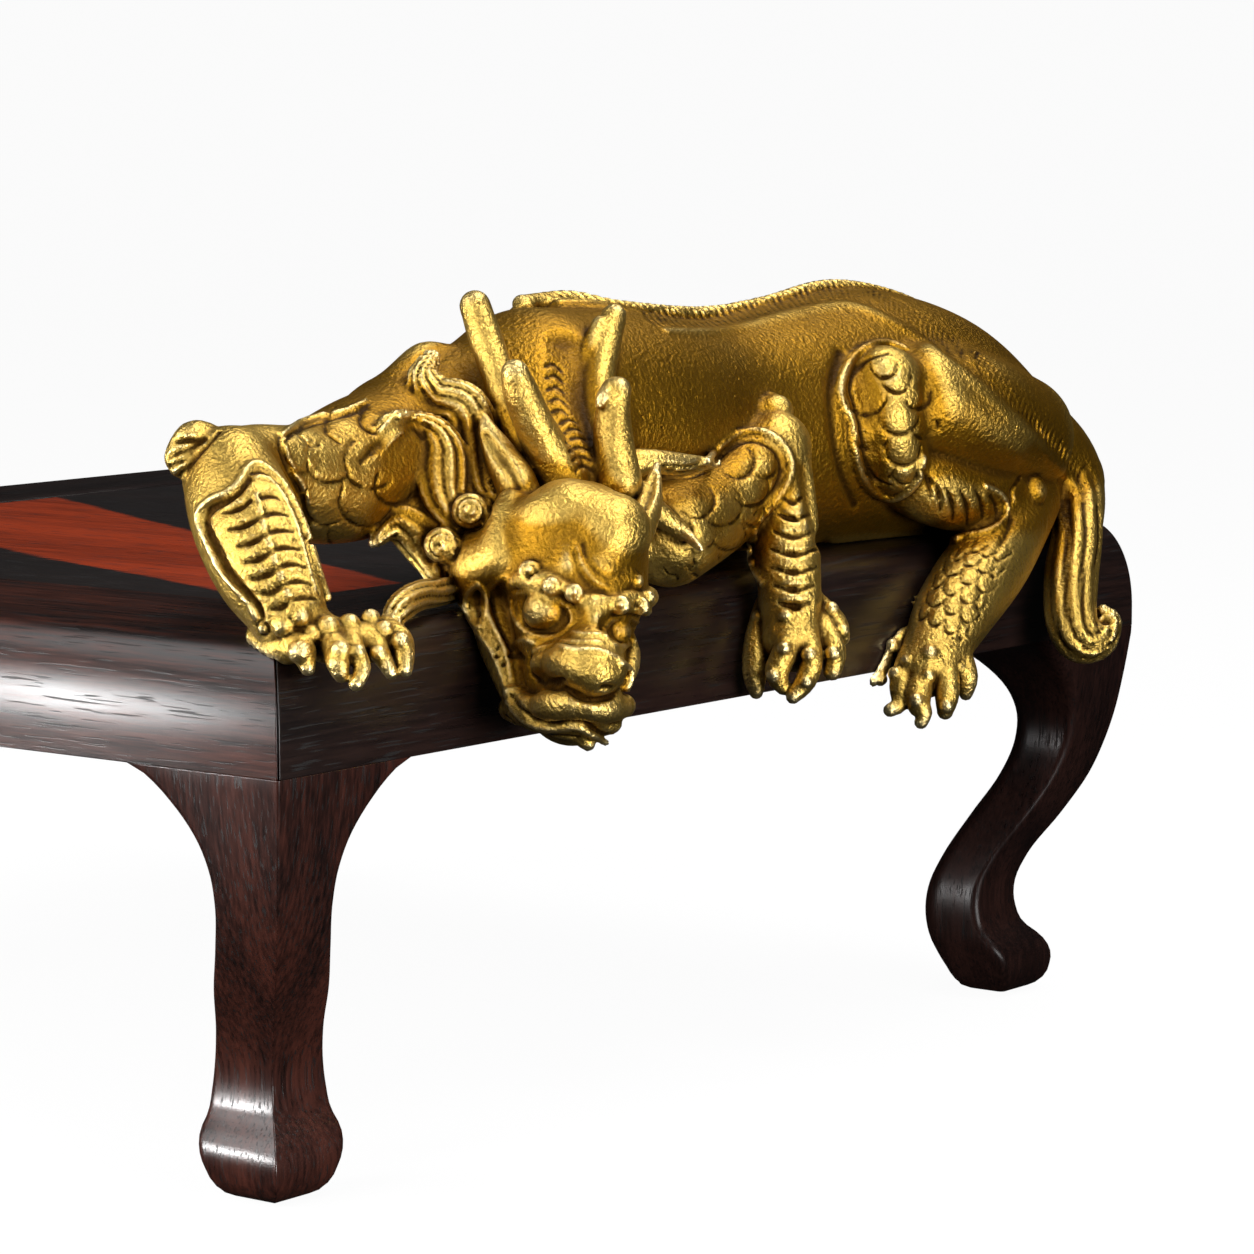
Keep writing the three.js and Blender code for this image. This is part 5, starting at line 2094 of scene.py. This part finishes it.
@dataclass(frozen=True)
class Lamp:
    """A soft rectangular studio lamp aimed at the figure.

    Args:
        name: Plain name.
        spot: Position in the stand's frame.
        aim: Point it faces.
        size: Width and height.
        power: Strength in watts.
    """

    name: str
    spot: Point
    aim: Point
    size: tuple[float, float]
    power: float

    def build(self, builder: Builder) -> None:
        """Adds the lamp to the scene."""
        data = bpy.data.lights.new(self.name, "AREA")
        data.shape = "RECTANGLE"
        data.size, data.size_y = self.size[0] * MM, self.size[1] * MM
        data.energy = self.power
        item = bpy.data.objects.new(self.name, data)
        spot, aim = Vector(builder.place(self.spot)), Vector(builder.place(self.aim))
        item.location = spot
        item.rotation_euler = (aim - spot).to_track_quat("-Z", "Y").to_euler()
        bpy.context.collection.objects.link(item)


LAMPS = (
    Lamp("key", (-900, -60, 400), (-20, -70, 90), (320, 320), 4.2),
    Lamp("top", (200, -250, 900), (0, -60, 90), (900, 400), 6.5),
    Lamp("strip", (-325, 102, 92), (-120, -40, 78), (80, 38), 1.0),
    Lamp("back_left", (-600, 400, 700), (0, -60, 90), (500, 500), 4),
    Lamp("low_front", (-200, -900, 120), (0, -60, 90), (500, 300), 7.5),
    Lamp("high_front", (0, -600, 900), (0, -60, 90), (400, 400), 2.5),
)


@dataclass(frozen=True)
class Studio:
    """Pale bowl-shaped floor, lamps and dim surroundings.

    Args:
        lamps: The lamps.
        reach: Radius of the bowl in millimetres.
        outline: The bowl from its middle outwards: radius and height as shares of its reach.
        spokes: Points in each of its rings.
        drop: Distance of the floor below the soles.
        glow: Brightness of the floor.
        low: Brightness of the sky at the horizon.
        high: Brightness overhead.
    """

    lamps: Sequence[Lamp]
    reach: float = 3000.0
    outline: Path = (
        (0.35, 0.0), (0.8, 0.0), (0.9, 0.03), (0.97, 0.1), (1.0, 0.2), (1.0, 0.9), (0.7, 1.3), (0.2, 1.5),
    )
    spokes: int = 64
    drop: float = 0.05
    glow: float = 0.955
    low: float = 0.01
    high: float = 0.08

    def build(self, builder: Builder) -> None:
        """Adds everything around the object."""
        floor = builder.make("floor", self._bowl(), self._paper())
        floor.visible_diffuse = floor.visible_glossy = floor.visible_shadow = False
        for lamp in self.lamps:
            lamp.build(builder)
        bpy.context.scene.world = self._surroundings()

    def _paper(self) -> bpy.types.Material:
        """Returns the floor's evenly glowing white."""
        book = ShaderBook("pale_floor")
        return book.finish(colour=(0.05, 0.05, 0.05), roughness=1.0, specular=0.0,
                           glow=(1.0, 1.0, 1.0), glow_strength=self.glow)

    def _bowl(self) -> MeshPiece:
        """Returns a flat floor that curves up into a wall and a dome."""
        turns = np.linspace(0, 2 * math.pi, self.spokes, endpoint=False)
        rings = []
        for radius, height in self.outline:
            level = np.full(self.spokes, height)
            rings.append(np.column_stack((radius * np.cos(turns), radius * np.sin(turns), level)))
        faces = tube_faces(len(rings), self.spokes, inside_out=True)
        return MeshPiece(np.vstack(rings) * self.reach - (0, 0, self.drop), faces)

    def _surroundings(self) -> bpy.types.World:
        """Returns a sky that brightens from the horizon upwards."""
        world = bpy.data.worlds.new("surroundings")
        world.use_nodes = True
        tree = world.node_tree
        parts = tree.nodes.new("ShaderNodeSeparateXYZ")
        tree.links.new(tree.nodes.new("ShaderNodeTexCoord").outputs["Generated"], parts.inputs[0])
        height = tree.nodes.new("ShaderNodeMapRange")
        height.interpolation_type = "SMOOTHSTEP"
        tree.links.new(parts.outputs[2], height.inputs["Value"])
        values = {"From Min": 0.1, "From Max": 1.0, "To Min": self.low, "To Max": self.high}
        for name, value in values.items():
            height.inputs[name].default_value = value
        tree.links.new(height.outputs[0], tree.nodes["Background"].inputs[1])
        tree.nodes["Background"].inputs[0].default_value = (1.0, 1.0, 1.0, 1.0)
        return world


def main() -> None:
    """Builds the stand, the dragon and the studio, in that order."""
    logging.basicConfig(level=logging.INFO, format="%(message)s")
    sizes = StandSizes()
    low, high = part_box("top_panel")
    offset = Vector(((low.x + high.x) / 2, (low.y + high.y) / 2 - sizes.centre_y * MM, 0.0))
    builder = Builder(offset)
    Stand(sizes).build(builder)
    Dragon(sizes, Detail.FULL).build(builder, BrassFinish().material())
    Studio(LAMPS).build(builder)
    CAMERA.build(builder)
    bpy.context.scene.view_settings.view_transform = "Standard"


if __name__ == "__main__":
    main()
